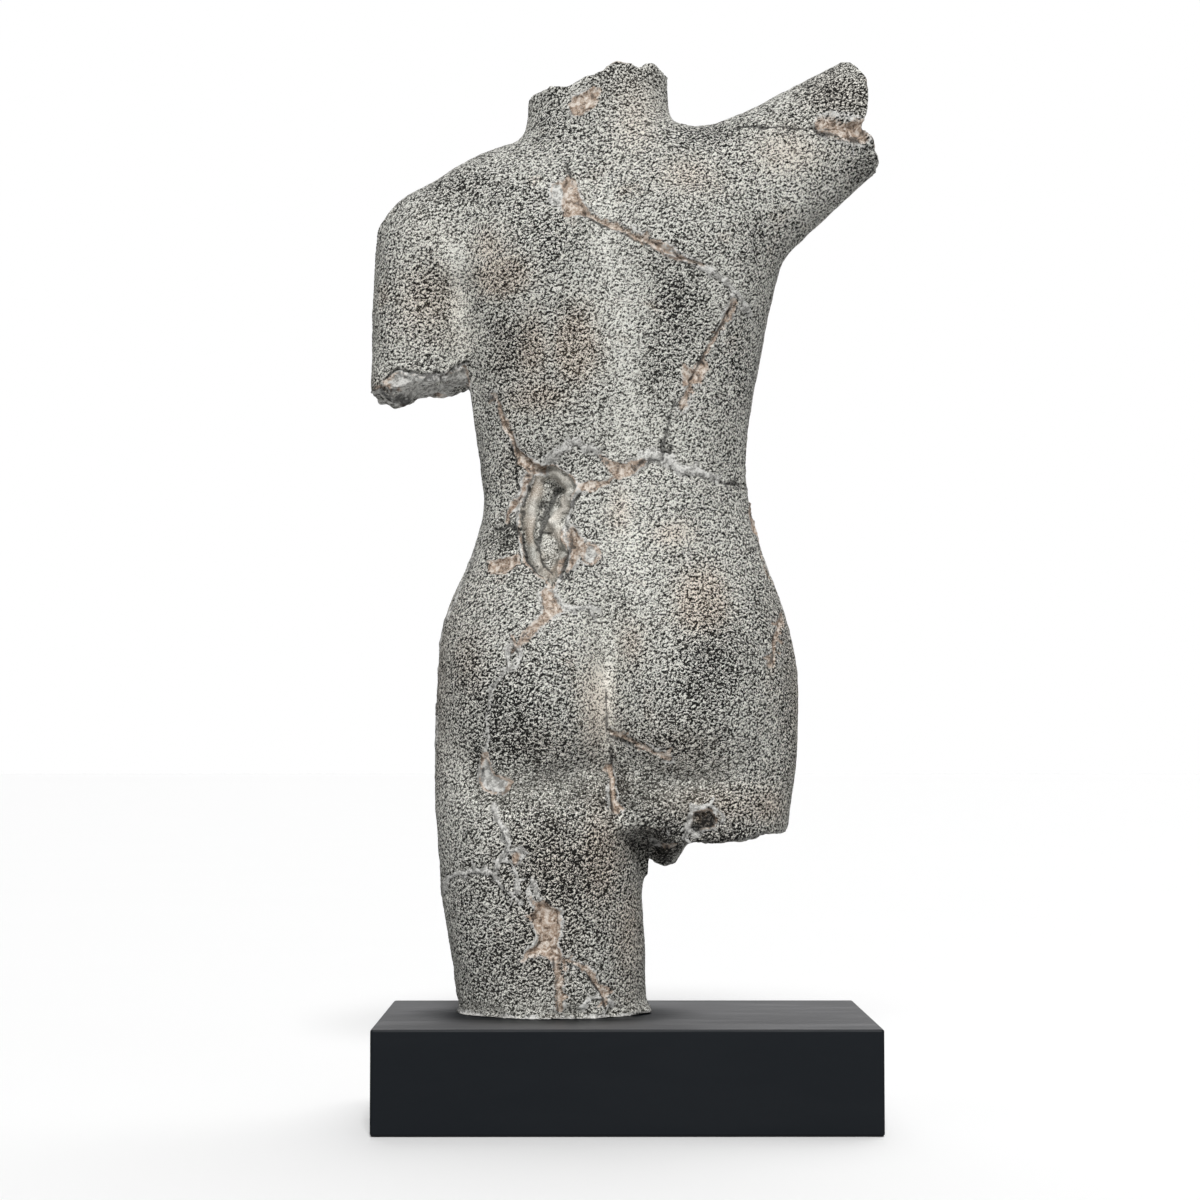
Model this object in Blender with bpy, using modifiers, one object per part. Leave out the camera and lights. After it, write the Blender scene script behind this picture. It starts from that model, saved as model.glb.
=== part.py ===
"""A cast resin torso with an aged stone finish, standing on a black plinth.

The torso is modelled the way a carver roughs out a figure: lofted masses for the trunk, neck, arms and
thighs and rounded masses for the shoulders are fused into one skin, muscles and creases are then worked
into it with strokes, and the neck, both arms and the right thigh are broken off rough.

The side seen first is the figure's back. It faces -Y, so the figure's left is at -X. +Z is up and the
origin is the middle of the plinth's underside.
"""

import math
from collections import namedtuple

import bmesh
import bpy
import numpy as np
from mathutils import Matrix, Vector, noise

# Driving dimensions, in metres.
PLINTH_WIDTH = 0.280
PLINTH_DEPTH = 0.180
PLINTH_HEIGHT = 0.058
PLINTH_EDGE = 0.0015
EDGE_SEGMENTS = 3
FIGURE_HEIGHT = 0.558
# The figure stands this far behind the plinth's middle, and this far above its top.
FIGURE_SET_BACK = 0.018
SEATING_GAP = 0.0003

STONE_COLOUR, STONE_ROUGHNESS = (0.36, 0.36, 0.33), 0.85
LACQUER_COLOUR, LACQUER_ROUGHNESS = (0.012, 0.014, 0.017), 0.45

# The figure is carved in millimetres, as a torso this tall, and scaled to FIGURE_HEIGHT at the end.
CARVED_HEIGHT = 558.0
SKIN_VOXEL = 2.6
MELTING_ROUNDS = 60
CARVING_ROUNDS = 6
FIGURE_TRIANGLES = 8800
RING_POINTS = 56
RING_SPACING = 5.0
MASS_SEGMENTS, MASS_RINGS = 40, 24
BREAK_SPACING = 3.2
# Corners nearer than this after the breaks are cut are joined, in metres.
SLIVER = 0.00004
# How far a limb is carried past its break before it is cut back.
OVERRUN = 24.0

# Each station of an upright mass: height, left edge, right edge, back, front and squareness.
TRUNK = (
    (104, -96, 84, -42, 38, 2.2),
    (128, -106, 92, -50, 46, 2.3),
    (158, -112, 101, -55, 52, 2.3),
    (193, -110.5, 102, -56, 57, 2.3),
    (228, -107, 95.5, -53, 60, 2.3),
    (264, -92, 83.5, -46, 60, 2.2),
    (299, -83, 74, -42, 57, 2.2),
    (317, -85.5, 71.5, -43, 56, 2.2),
    (335, -88.5, 72.5, -46, 56, 2.3),
    (353, -91, 75, -50, 57, 2.4),
    (371, -94, 78, -54, 58, 2.5),
    (406, -99, 85, -61, 59, 2.6),
    (442, -108, 93, -65, 54, 2.6),
    (470, -112, 96, -61, 42, 2.5),
    (490, -100, 93, -53, 32, 2.3),
    (506, -70, 73, -45, 24, 2.1),
    (518, -50, 47, -38, 18, 2.0),
)
NECK = (
    (452, -72, 40, -52, 24, 2.0),
    (500, -62, 30, -48, 21, 2.0),
    (518, -58, 27.5, -43, 22, 2.0),
    (536, -58, 26.5, -39, 25, 2.0),
    (552 + OVERRUN, -58, 25.5, -36, 29, 2.0),
)
LEFT_LEG = (
    (-OVERRUN, -93, 12.5, -51, 54, 2.1),
    (0, -97, 12.8, -52, 54, 2.1),
    (27, -100.5, 13, -53, 55, 2.1),
    (53, -105.5, 11.5, -54, 56, 2.1),
    (79, -108.5, 9, -56, 57, 2.1),
    (105, -110.5, 4, -57, 56, 2.1),
    (128, -111.5, -2, -55, 54, 2.1),
    (160, -109, -10, -50, 50, 2.1),
    (196, -98, -20, -42, 44, 2.0),
)
RIGHT_THIGH = (
    (80, 12, 90, -36, 60, 2.1),
    (98, 7, 94.5, -41, 62, 2.1),
    (122, 1, 98.5, -46, 60, 2.1),
    (150, -2, 102, -48, 55, 2.1),
    (196, 8, 93, -42, 46, 2.0),
)

# Each limb runs from its root towards its end, with sections at shares of the way: half the width across
# the line of sight and half the depth along it.
Limb = namedtuple("Limb", "root end sections")
LIMB_SQUARENESS = 2.1
LEFT_ARM = Limb((-113.5, -8, 458), (-122, -8, 340), ((0, 33, 33), (0.4, 31.5, 33), (1, 28.5, 29)))
RIGHT_ARM = Limb(
    (29, -12, 450.2),
    (171, -4, 549.7),
    ((0, 51.5, 36), (0.34, 43.5, 38), (0.51, 39, 36), (0.77, 33.5, 33), (1, 33, 32)),
)

# Rounded masses: centre, radii and turn about the line of sight, in degrees.
Mass = namedtuple("Mass", "centre radii turn")
MASSES = {
    "left shoulder": Mass((-104.5, -10, 445), (43, 37, 40), 0),
    "left shoulder slope": Mass((-82, -14, 472.5), (59, 32, 27.5), -29),
    "left armpit": Mass((-97, -16, 414), (15, 24, 46), 0),
}

# A swelling pushes the skin out: its side of the body, centre across and up, reach across, up and down,
# how far it lifts, its turn in degrees, and how it ends (1 leaves a crease, 2 is soft).
Swelling = namedtuple("Swelling", "side centre reach lift turn end")
SWELLINGS = {
    "left buttock": Swelling("back", (-57, 180), (56, 66, 46), 18, 6, 1.2),
    "right buttock": Swelling("back", (43, 182), (57, 64, 47), 17, -6, 1.2),
    "left hip": Swelling("back", (-92, 200), (34, 60, 60), 5, 0, 2),
    "left shoulder blade": Swelling("back", (-54, 434), (42, 58, 64), 6, 14, 2),
    "right shoulder blade": Swelling("back", (46, 444), (46, 56, 70), 7, -28, 2),
    "left back muscle": Swelling("back", (-34, 322), (26, 86, 80), 5, -4, 2),
    "right back muscle": Swelling("back", (38, 322), (26, 86, 80), 5, 2, 2),
    "left flank": Swelling("back", (-66, 262), (36, 36, 40), 4, 0, 2),
    "left breast": Swelling("front", (-54, 420), (42, 52, 33), 23, 0, 1.1),
    "right breast": Swelling("front", (38, 430), (42, 54, 33), 23, 0, 1.1),
    "belly": Swelling("front", (-5, 232), (60, 52, 62), 11, 0, 2),
    "rib arch": Swelling("front", (-8, 344), (76, 70, 40), 5, 0, 1.6),
    "left thigh muscle": Swelling("front", (-52, 88), (46, 90, 100), 8, 0, 2),
    "right thigh muscle": Swelling("front", (50, 120), (44, 60, 60), 8, 0, 2),
}

# A furrow draws the skin in along a route of (across, up) points. A negative depth raises a ridge, and a
# sharp furrow has a V for its bottom.
Furrow = namedtuple("Furrow", "side route half_width depth sharp")
FURROWS = {
    "spine": Furrow("back", ((-17, 500), (-10, 440), (2, 390), (9, 330), (4, 285), (-8, 232)), 15, 6, False),
    "cleft": Furrow("back", ((-10, 200), (-10.5, 180), (-10.5, 160), (-9, 138), (-1, 116)), 6, 9, True),
    "cleft top": Furrow("back", ((-9, 222), (-10, 196)), 8, 3, False),
    "cleft floor": Furrow("back", ((-9, 216), (-10, 180), (-9, 140)), 18, 7, False),
    "left fold": Furrow("back", ((-12, 142), (-36, 132), (-64, 126), (-84, 128)), 6, 4, True),
    "right fold": Furrow("back", ((-8, 142), (20, 134), (50, 131), (84, 134)), 6, 4, True),
    "left dimple": Furrow("back", ((-40, 240), (-38, 234)), 10, 3, False),
    "right dimple": Furrow("back", ((26, 240), (24, 234)), 10, 3, False),
    "left armpit crease": Furrow("back", ((-94, 356), (-96, 390), (-97, 416)), 9, 6, False),
    "right armpit crease": Furrow("back", ((86, 398), (96, 424), (112, 448)), 10, 4, False),
    "hollow in the waist": Furrow("back", ((-43, 309), (-42, 284), (-41, 252)), 12, 9, False),
    "breastbone": Furrow("front", ((-8, 476), (-8, 440), (-8, 392)), 12, 5, False),
    "middle line": Furrow("front", ((-7, 372), (-6, 320), (-5, 284)), 9, 3, False),
    "navel": Furrow("front", ((-5, 263), (-5, 259)), 6, 9, True),
    "left groin": Furrow("front", ((-84, 212), (-58, 182), (-26, 146), (-12, 128)), 10, 4.5, False),
    "right groin": Furrow("front", ((76, 210), (50, 180), (20, 146), (4, 128)), 10, 4.5, False),
    "between the thighs": Furrow("front", ((-5, 134), (0, 116), (6, 96), (10, 80)), 7, 14, True),
    "left collar bone": Furrow("front", ((-18, 492), (-54, 496), (-84, 490)), 6, -3, False),
    "right collar bone": Furrow("front", ((2, 492), (40, 502), (74, 516)), 6, -3, False),
}
# How far a normal leans to a side before strokes there work in full.
SIDE_BLEND = 0.5

# The mortar that the sole is bedded in spreads this far, up to this height, in lobes this long.
BEDDING_SPREAD = 4.0
BEDDING_HEIGHT = 5.5
BEDDING_LOBE = 11.0
BEDDING_UNEVEN = 0.6

# A break: its profile as (across, height), the field across and deep that its cutter covers, where the
# cutter's flat far face is and how far that leans sideways, the slope of the break away from the back,
# and the size, lift and place in the noise of its roughness.
Break = namedtuple("Break", "profile across deep far lean slope grain lift seed")
BREAKS = {
    "neck": Break(
        ((-75, 535.5), (-31, 535), (-27, 537), (-21, 542), (-12, 544), (-7, 547), (8, 549), (19, 550.5), (40, 550)),
        (-90, 60), (-80, 70), 640, 0, -0.08, 13, 3.2, 3,
    ),
    "left_arm": Break(
        ((-165, 362), (-149, 362), (-145, 360), (-137, 357), (-129, 358), (-124, 362), (-116, 364), (-80, 368)),
        (-170, -91.5), (-60, 50), 300, 9, -0.05, 12, 3, 31,
    ),
    "right_arm": Break(
        ((-60, -2), (-32, -2), (-24, 2), (-16, 3), (-2, 0), (4, -4), (8, -9), (13, -9), (17, -3), (24, -1), (60, 0)),
        (-60, 60), (-60, 50), 90, 0, -0.12, 12, 2.4, 57,
    ),
    "right_thigh": Break(
        ((-10, 117), (0, 116), (16, 102), (24, 99), (67, 99), (78, 104), (110, 106)),
        (14, 130), (-80, 90), 40, 0, -0.02, 14, 3, 80,
    ),
    "sole": Break(((-200, 0), (200, 0)), (-130, 50), (-90, 90), -60, 0, 0, 10, 0, 0),
}
# Every break but this one is cut from level ground; this one faces out along the raised arm.
RIGHT_ARM_BREAK_CENTRE = (138.9, -6, 524.8)
RIGHT_ARM_BREAK_TILT = 74.2
# The roughness adds these scales of noise, each with its share.
BREAK_OCTAVES = ((1, 1), (2.3, 0.5), (5.1, 0.25))
# The front inner corner of the right thigh hangs lower: its place, spread and drop.
REMNANT_ACROSS, REMNANT_DEEP, REMNANT_SPREAD, REMNANT_DROP, REMNANT_EDGE = 18, 14, 18, 16, 4


def smooth_through(stations, height):
    """The station at a height, on a smooth curve through the given ones."""
    table = np.array(stations, float)
    heights, values = table[:, 0], table[:, 1:]
    slope = np.diff(values, axis=0) / np.diff(heights)[:, None]
    tangent = np.zeros_like(values)
    tangent[1:-1] = (slope[1:] + slope[:-1]) / 2
    tangent[1:-1][slope[1:] * slope[:-1] <= 0] = 0
    tangent[0], tangent[-1] = slope[0], slope[-1]
    i = int(np.clip(np.searchsorted(heights, height) - 1, 0, len(heights) - 2))
    span = heights[i + 1] - heights[i]
    t = (height - heights[i]) / span
    return (
        values[i] * (1 + 2 * t) * (1 - t) ** 2
        + values[i + 1] * t * t * (3 - 2 * t)
        + tangent[i] * span * t * (1 - t) ** 2
        + tangent[i + 1] * span * t * t * (t - 1)
    )


def ring(left, right, back, front, squareness):
    """Points round an egg-shaped section, as (across, deep) pairs."""
    reach = 2 / squareness
    points = []
    for k in range(RING_POINTS):
        angle = 2 * math.pi * k / RING_POINTS
        c, s = math.cos(angle), math.sin(angle)
        across = (left + right) / 2 + (right - left) / 2 * math.copysign(abs(c) ** reach, c)
        deep = (back + front) / 2 + (front - back) / 2 * math.copysign(abs(s) ** reach, s)
        points.append((across, deep))
    return points


def skin_rings(mesh, rings):
    """Faces between neighbouring rings of points, and a cap on each end."""
    loops = [[mesh.verts.new(point) for point in points] for points in rings]
    for lower, upper in zip(loops, loops[1:]):
        for k in range(RING_POINTS):
            after = (k + 1) % RING_POINTS
            mesh.faces.new((lower[k], lower[after], upper[after], upper[k]))
    mesh.faces.new(loops[0][::-1])
    mesh.faces.new(loops[-1])


def add_upright(mesh, stations):
    """A mass lofted straight up through its stations."""
    low, high = stations[0][0], stations[-1][0]
    steps = math.ceil((high - low) / RING_SPACING)
    rings = []
    for i in range(steps + 1):
        height = low + (high - low) * i / steps
        section = ring(*smooth_through(stations, height))
        rings.append([(across, deep, height) for across, deep in section])
    skin_rings(mesh, rings)


def add_limb(mesh, limb):
    """A mass lofted along a straight line that may slant."""
    root = Vector(limb.root)
    along = Vector(limb.end) - root
    side = along.cross(Vector((0, 1, 0))).normalized()
    depth = along.cross(side).normalized()
    steps = math.ceil(along.length / RING_SPACING)
    rings = []
    for i in range(steps + 1):
        width, deep = smooth_through(limb.sections, i / steps)
        section = ring(-width, width, -deep, deep, LIMB_SQUARENESS)
        centre = root + along * i / steps
        rings.append([centre + side * a + depth * d for a, d in section])
    skin_rings(mesh, rings)


def rough_out():
    """The main masses of the body, overlapping one another."""
    mesh = bmesh.new()
    for stations in (TRUNK, NECK, LEFT_LEG, RIGHT_THIGH):
        add_upright(mesh, stations)
    for limb in (LEFT_ARM, RIGHT_ARM):
        add_limb(mesh, limb)
    for mass in MASSES.values():
        place = Matrix.LocRotScale(mass.centre, None, None)
        place = place @ Matrix.Rotation(math.radians(mass.turn), 4, "Y") @ Matrix.Diagonal((*mass.radii, 1))
        bmesh.ops.create_uvsphere(
            mesh, u_segments=MASS_SEGMENTS, v_segments=MASS_RINGS, radius=1, matrix=place
        )
    bmesh.ops.recalc_face_normals(mesh, faces=mesh.faces)
    return mesh


def new_object(name, mesh, collection):
    """An object that holds a bmesh, which it uses up."""
    data = bpy.data.meshes.new(name)
    mesh.to_mesh(data)
    mesh.free()
    made = bpy.data.objects.new(name, data)
    collection.objects.link(made)
    return made


def apply_modifiers(target):
    """Keeps the shape that the modifiers give, without them."""
    graph = bpy.context.evaluated_depsgraph_get()
    shaped = bpy.data.meshes.new_from_object(target.evaluated_get(graph))
    target.modifiers.clear()
    rough_mesh = target.data
    target.data = shaped
    bpy.data.meshes.remove(rough_mesh)
    shaped.name = target.name


def ease(target, rounds):
    """Softens the skin, a little each round."""
    easing = target.modifiers.new("easing", "SMOOTH")
    easing.factor = 0.5
    easing.iterations = rounds
    apply_modifiers(target)


def fuse(target):
    """One even skin over the overlapping masses, melted together where they join."""
    remesh = target.modifiers.new("skin", "REMESH")
    remesh.mode = "VOXEL"
    remesh.voxel_size = SKIN_VOXEL
    ease(target, MELTING_ROUNDS)


def facing(normals, side):
    """Which way that side of the body faces along Y, and how squarely each point faces it, from 0 to 1."""
    out = -1 if side == "back" else 1
    share = np.clip(normals[:, 1] * out / SIDE_BLEND, 0, 1)
    return out, share * share * (3 - 2 * share)


def swell(points, normals, stroke):
    """Pushes out a rounded swelling."""
    out, share = facing(normals, stroke.side)
    c, s = math.cos(math.radians(stroke.turn)), math.sin(math.radians(stroke.turn))
    across, up = points[:, 0] - stroke.centre[0], points[:, 2] - stroke.centre[1]
    wide, rise, fall = stroke.reach
    u = (across * c - up * s) / wide
    v = across * s + up * c
    v = np.where(v > 0, v / rise, v / fall)
    points[:, 1] += out * stroke.lift * share * np.clip(1 - u * u - v * v, 0, 1) ** stroke.end


def distance_to(route, across, up):
    """How far each point lies from a route of straight runs."""
    nearest = np.full(len(across), np.inf)
    for (x, z), after in zip(route, route[1:]):
        run = np.subtract(after, (x, z))
        share = np.clip(((across - x) * run[0] + (up - z) * run[1]) / (run @ run), 0, 1)
        nearest = np.minimum(nearest, np.hypot(across - x - share * run[0], up - z - share * run[1]))
    return nearest


def furrow(points, normals, stroke):
    """Draws the skin in along a route."""
    out, share = facing(normals, stroke.side)
    away = distance_to(stroke.route, points[:, 0], points[:, 2]) / stroke.half_width
    points[:, 1] -= out * stroke.depth * share * np.exp(-away if stroke.sharp else -away * away)


def spread_bedding(points, normals):
    """Pushes the foot of the leg out into the uneven rim of mortar that it stands in."""
    for k in np.flatnonzero(np.abs(points[:, 2]) < BEDDING_HEIGHT):
        share = 1 - (points[k, 2] / BEDDING_HEIGHT) ** 2
        lobe = noise.noise(Vector((points[k, 0], points[k, 1], 0)) / BEDDING_LOBE)
        points[k, :2] += normals[k, :2] * BEDDING_SPREAD * share * (1 + BEDDING_UNEVEN * lobe)


def carve(target):
    """Works the muscles, the creases and the bedding into the fused skin."""
    mesh = target.data
    points = np.empty(len(mesh.vertices) * 3, np.float32)
    normals = np.empty_like(points)
    mesh.vertices.foreach_get("co", points)
    mesh.vertex_normals.foreach_get("vector", normals)
    points, normals = points.reshape(-1, 3), normals.reshape(-1, 3)
    for stroke in SWELLINGS.values():
        swell(points, normals, stroke)
    for stroke in FURROWS.values():
        furrow(points, normals, stroke)
    spread_bedding(points, normals)
    mesh.vertices.foreach_set("co", points.ravel())
    mesh.update()
    ease(target, CARVING_ROUNDS)


def roughness(cut, u, v):
    """Uneven relief of a broken face at a place on it."""
    place = Vector((u, v, cut.seed)) / cut.grain
    return cut.lift * sum(share * noise.noise(place * scale) for scale, share in BREAK_OCTAVES)


def remnant(u, v):
    """How much lower the right thigh hangs at a place on its break."""
    spread = math.exp(-(((u - REMNANT_ACROSS) / REMNANT_SPREAD) ** 4))
    return REMNANT_DROP * spread / (1 + math.exp((REMNANT_DEEP - v) / REMNANT_EDGE))


def add_cutter(name, cut, place, collection):
    """A block that takes off what lies past a break."""
    mesh = bmesh.new()
    (left, right), (near, rear) = cut.across, cut.deep
    columns, rows = round((right - left) / BREAK_SPACING), round((rear - near) / BREAK_SPACING)
    bmesh.ops.create_grid(mesh, x_segments=columns, y_segments=rows, size=0.5)
    stops, heights = zip(*cut.profile)
    for point in mesh.verts:
        u = left + (point.co.x + 0.5) * (right - left)
        v = near + (point.co.y + 0.5) * (rear - near)
        height = float(np.interp(u, stops, heights)) + cut.slope * v + roughness(cut, u, v)
        if name == "right_thigh":
            height -= remnant(u, v)
        point.co = (u, v, height)
    block = bmesh.ops.extrude_face_region(mesh, geom=mesh.faces[:])
    for point in (item for item in block["geom"] if isinstance(item, bmesh.types.BMVert)):
        point.co = (point.co.x + cut.lean, point.co.y, cut.far)
    bmesh.ops.transform(mesh, matrix=place, verts=mesh.verts)
    bmesh.ops.recalc_face_normals(mesh, faces=mesh.faces)
    cutter = new_object(name + "_cutter", mesh, collection)
    cutter.hide_render = True
    cutter.display_type = "WIRE"
    return cutter


def break_off(target, collection):
    """Breaks off the neck, both arms and the right thigh, and cuts the sole flat."""
    tilt = Matrix.Rotation(math.radians(RIGHT_ARM_BREAK_TILT), 4, "Y")
    for name, cut in BREAKS.items():
        place = Matrix.Identity(4)
        if name == "right_arm":
            place = Matrix.Translation(RIGHT_ARM_BREAK_CENTRE) @ tilt
        boolean = target.modifiers.new(name, "BOOLEAN")
        boolean.object = add_cutter(name, cut, place, collection)
        boolean.operation = "DIFFERENCE"
    apply_modifiers(target)


def thin_out(target):
    """Joins the slivers along the breaks and keeps as many triangles as the form needs."""
    weld = target.modifiers.new("slivers", "WELD")
    weld.merge_threshold = SLIVER
    apply_modifiers(target)
    target.data.calc_loop_triangles()
    thin = target.modifiers.new("thin", "DECIMATE")
    thin.ratio = FIGURE_TRIANGLES / len(target.data.loop_triangles)
    apply_modifiers(target)


def plain_material(name, colour, rough):
    """A matt material of one colour."""
    material = bpy.data.materials.new(name)
    material.use_nodes = True
    shader = material.node_tree.nodes["Principled BSDF"]
    shader.inputs["Base Color"].default_value = (*colour, 1)
    shader.inputs["Roughness"].default_value = rough
    shader.inputs["Metallic"].default_value = 0
    return material


def build_torso(collection, helpers):
    """The figure, cast in one piece with its bedding."""
    torso = new_object("torso", rough_out(), collection)
    fuse(torso)
    carve(torso)
    break_off(torso, helpers)
    unit = FIGURE_HEIGHT / CARVED_HEIGHT
    torso.data.transform(Matrix.Diagonal((unit, unit, unit, 1)))
    thin_out(torso)
    torso.data.shade_smooth()
    torso.location = (0, FIGURE_SET_BACK, PLINTH_HEIGHT + SEATING_GAP)
    torso.data.materials.append(plain_material("aged stone resin", STONE_COLOUR, STONE_ROUGHNESS))


def build_plinth(collection):
    """The block that the figure stands on, with its edges eased."""
    mesh = bmesh.new()
    size = Matrix.Diagonal((PLINTH_WIDTH, PLINTH_DEPTH, PLINTH_HEIGHT, 1))
    bmesh.ops.create_cube(mesh, size=1, matrix=size)
    plinth = new_object("plinth", mesh, collection)
    plinth.location = (0, 0, PLINTH_HEIGHT / 2)
    bevel = plinth.modifiers.new("eased edges", "BEVEL")
    bevel.width = PLINTH_EDGE
    bevel.segments = EDGE_SEGMENTS
    plinth.data.materials.append(plain_material("black lacquer", LACQUER_COLOUR, LACQUER_ROUGHNESS))


def main():
    """Builds the whole object."""
    for old in list(bpy.data.objects):
        bpy.data.objects.remove(old)
    collection = bpy.data.collections.new("resin torso")
    helpers = bpy.data.collections.new("cutters")
    bpy.context.scene.collection.children.link(collection)
    bpy.context.scene.collection.children.link(helpers)
    build_plinth(collection)
    build_torso(collection, helpers)


main()
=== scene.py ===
"""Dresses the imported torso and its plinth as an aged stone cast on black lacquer.

The torso's solid is taken over as a fine skin. Mortar seams, chips, the hollow at the waist, the broken
ends and the bedding are worked into that skin, and what they are painted with is kept on its points for
the finish to read. Lengths are in millimetres where the skin is worked, and in metres elsewhere.
"""

import itertools
import logging
import math
from dataclasses import dataclass, field
from enum import Enum

import bmesh
import bpy
import numpy as np
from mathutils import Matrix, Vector


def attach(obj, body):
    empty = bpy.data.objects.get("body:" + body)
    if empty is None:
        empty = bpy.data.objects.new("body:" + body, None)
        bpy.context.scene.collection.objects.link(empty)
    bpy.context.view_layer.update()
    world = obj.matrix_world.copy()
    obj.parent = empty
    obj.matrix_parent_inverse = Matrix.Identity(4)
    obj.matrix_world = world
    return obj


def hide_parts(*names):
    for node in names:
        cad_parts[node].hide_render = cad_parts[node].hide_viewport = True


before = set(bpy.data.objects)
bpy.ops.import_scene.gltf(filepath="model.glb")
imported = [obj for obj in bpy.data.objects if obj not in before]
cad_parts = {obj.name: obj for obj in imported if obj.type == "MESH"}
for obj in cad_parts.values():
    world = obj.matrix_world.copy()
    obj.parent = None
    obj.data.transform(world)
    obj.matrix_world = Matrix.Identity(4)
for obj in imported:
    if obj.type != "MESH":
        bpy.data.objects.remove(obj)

LOG = logging.getLogger("torso")
MILLIMETRES = 1000.0
# Large odd factors that scatter a lattice corner's place and seed over 32 bits
SCATTER_X, SCATTER_Y, SCATTER_Z, SCATTER_SEED = 73856093, 19349663, 83492791, 2654435761
MIXING = ((15, 2246822519), (13, 3266489917))
LOW_BITS = 0xFFFFFFFF
Triple = tuple[float, float, float]
Colour = Triple
Place = tuple[float, float]
Socket = bpy.types.NodeSocket


class Side(Enum):
    """The side of the figure that a mark lies on."""

    BACK = "back"
    FRONT = "front"
    LEFT = "left"
    RIGHT = "right"


class Look(Enum):
    """What a seam or a chip is filled with."""

    EARTH = "earth"
    PLASTER = "plaster"
    HAIRLINE = "hairline"
    FOLD = "fold"
    # A hole darkened with painted shade
    CAVITY = "painted_shade"


BACK, FRONT, LEFT, RIGHT = Side
EARTH, PLASTER, HAIRLINE, FOLD, CAVITY = Look

# How squarely a point has to face a side to take its marks: from not at all to fully
SEEN_FROM = {BACK: (0.02, 0.25), FRONT: (0.1, 0.4), LEFT: (0.3, 0.6), RIGHT: (0.3, 0.6)}


def smooth(low: float, high: float, value: np.ndarray) -> np.ndarray:
    """A soft step from 0 at low to 1 at high."""
    t = np.clip((value - low) / (high - low), 0, 1)
    return t * t * (3 - 2 * t)


def scatter(corners: np.ndarray, seed: int) -> np.ndarray:
    """A value from -1 to 1 for each corner of a lattice, in no order."""
    x, y, z = corners.T
    mixed = (x * SCATTER_X ^ y * SCATTER_Y ^ z * SCATTER_Z ^ seed * SCATTER_SEED) & LOW_BITS
    for shift, factor in MIXING:
        mixed = (mixed ^ mixed >> shift) * factor & LOW_BITS
    return (mixed ^ mixed >> 16) / 2**31 - 1


class Noise(Enum):
    """The patterns that the marks use: length of one lump in millimetres, and what is added to a mark's seed."""

    SEAM_ACROSS = (9.0, 11)
    SEAM_DOWN = (9.0, 23)
    CHIP_ACROSS = (6.0, 11)
    CHIP_DOWN = (6.0, 23)
    WIDTH = (12.0, 37)
    CREST = (6.0, 41)
    CRACK_EARTH = (5.0, 47)
    CRACK_SHADE = (6.0, 51)
    MENDED_SHADE = (7.0, 0)
    FOLD_TINT = (9.0, 0)
    FLOOR = (5.0, 31)
    RIM_TURN = (9.0, 61)
    RIM_SHADE = (6.0, 0)
    MURK = (5.0, 71)
    STAIN_EDGE = (22.0, 5)
    BAND_EDGE = (20.0, 9)
    ROUGHNESS = (8.0, 0)
    BROKEN_TINT = (14.0, 3)
    BROKEN_EARTH = (12.0, 7)
    BROKEN_PLASTER = (9.0, 9)
    UNDULATION = (16.0, 71)
    PITTING = (5.0, 73)
    BEDDING_LOBES = (13.0, 83)
    BEDDING_TOP = (9.0, 89)
    BEDDING_PAINT = (6.0, 91)

    def lumps(self, points: np.ndarray, seed: int = 0, octave: int = 0) -> np.ndarray:
        """Its smooth form.

        Args:
            points: Places in millimetres.
            seed: The mark's seed.
            octave: How often its lumps are halved.

        Returns:
            A value from -1 to 1 for each place.
        """
        size, extra = self.value
        cell = points / (size / 2**octave)
        base = np.floor(cell).astype(np.int64)
        t = smooth(0, 1, cell - base)
        total = np.zeros(len(points))
        for corner in itertools.product((0, 1), repeat=3):
            share = np.prod(np.where(corner, t, 1 - t), axis=1)
            total += share * scatter(base + corner, seed + extra + octave)
        return total

    def rubble(self, points: np.ndarray, seed: int = 0) -> np.ndarray:
        """Its rough form: lumps in three sizes, each half as large and as strong as the last."""
        return sum(self.lumps(points, seed, k) / 2**k for k in range(3))


def ridge(away: np.ndarray, middle: float = 0.0, width: float = 1.0) -> np.ndarray:
    """A rounded ridge, 1 high in its middle."""
    return np.exp(-(((away - middle) / width) ** 2))


def distance_to(places: np.ndarray, route: np.ndarray) -> np.ndarray:
    """How far each place lies from a route of straight runs."""
    nearest = np.full(len(places), np.inf)
    for start, end in zip(route, route[1:]):
        run = end - start
        share = np.clip((places - start) @ run / (run @ run), 0, 1)
        nearest = np.minimum(nearest, np.linalg.norm(places - start - share[:, None] * run, axis=1))
    return nearest


def inside(places: np.ndarray, outline: np.ndarray) -> np.ndarray:
    """Which places lie within a closed outline."""
    within = np.zeros(len(places), bool)
    for start, end in zip(outline, np.roll(outline, -1, axis=0)):
        crosses = (start[1] > places[:, 1]) != (end[1] > places[:, 1])
        rise = end[1] - start[1] or 1e-9
        at = start[0] + (places[:, 1] - start[1]) * (end[0] - start[0]) / rise
        within ^= crosses & (places[:, 0] < at)
    return within


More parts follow.
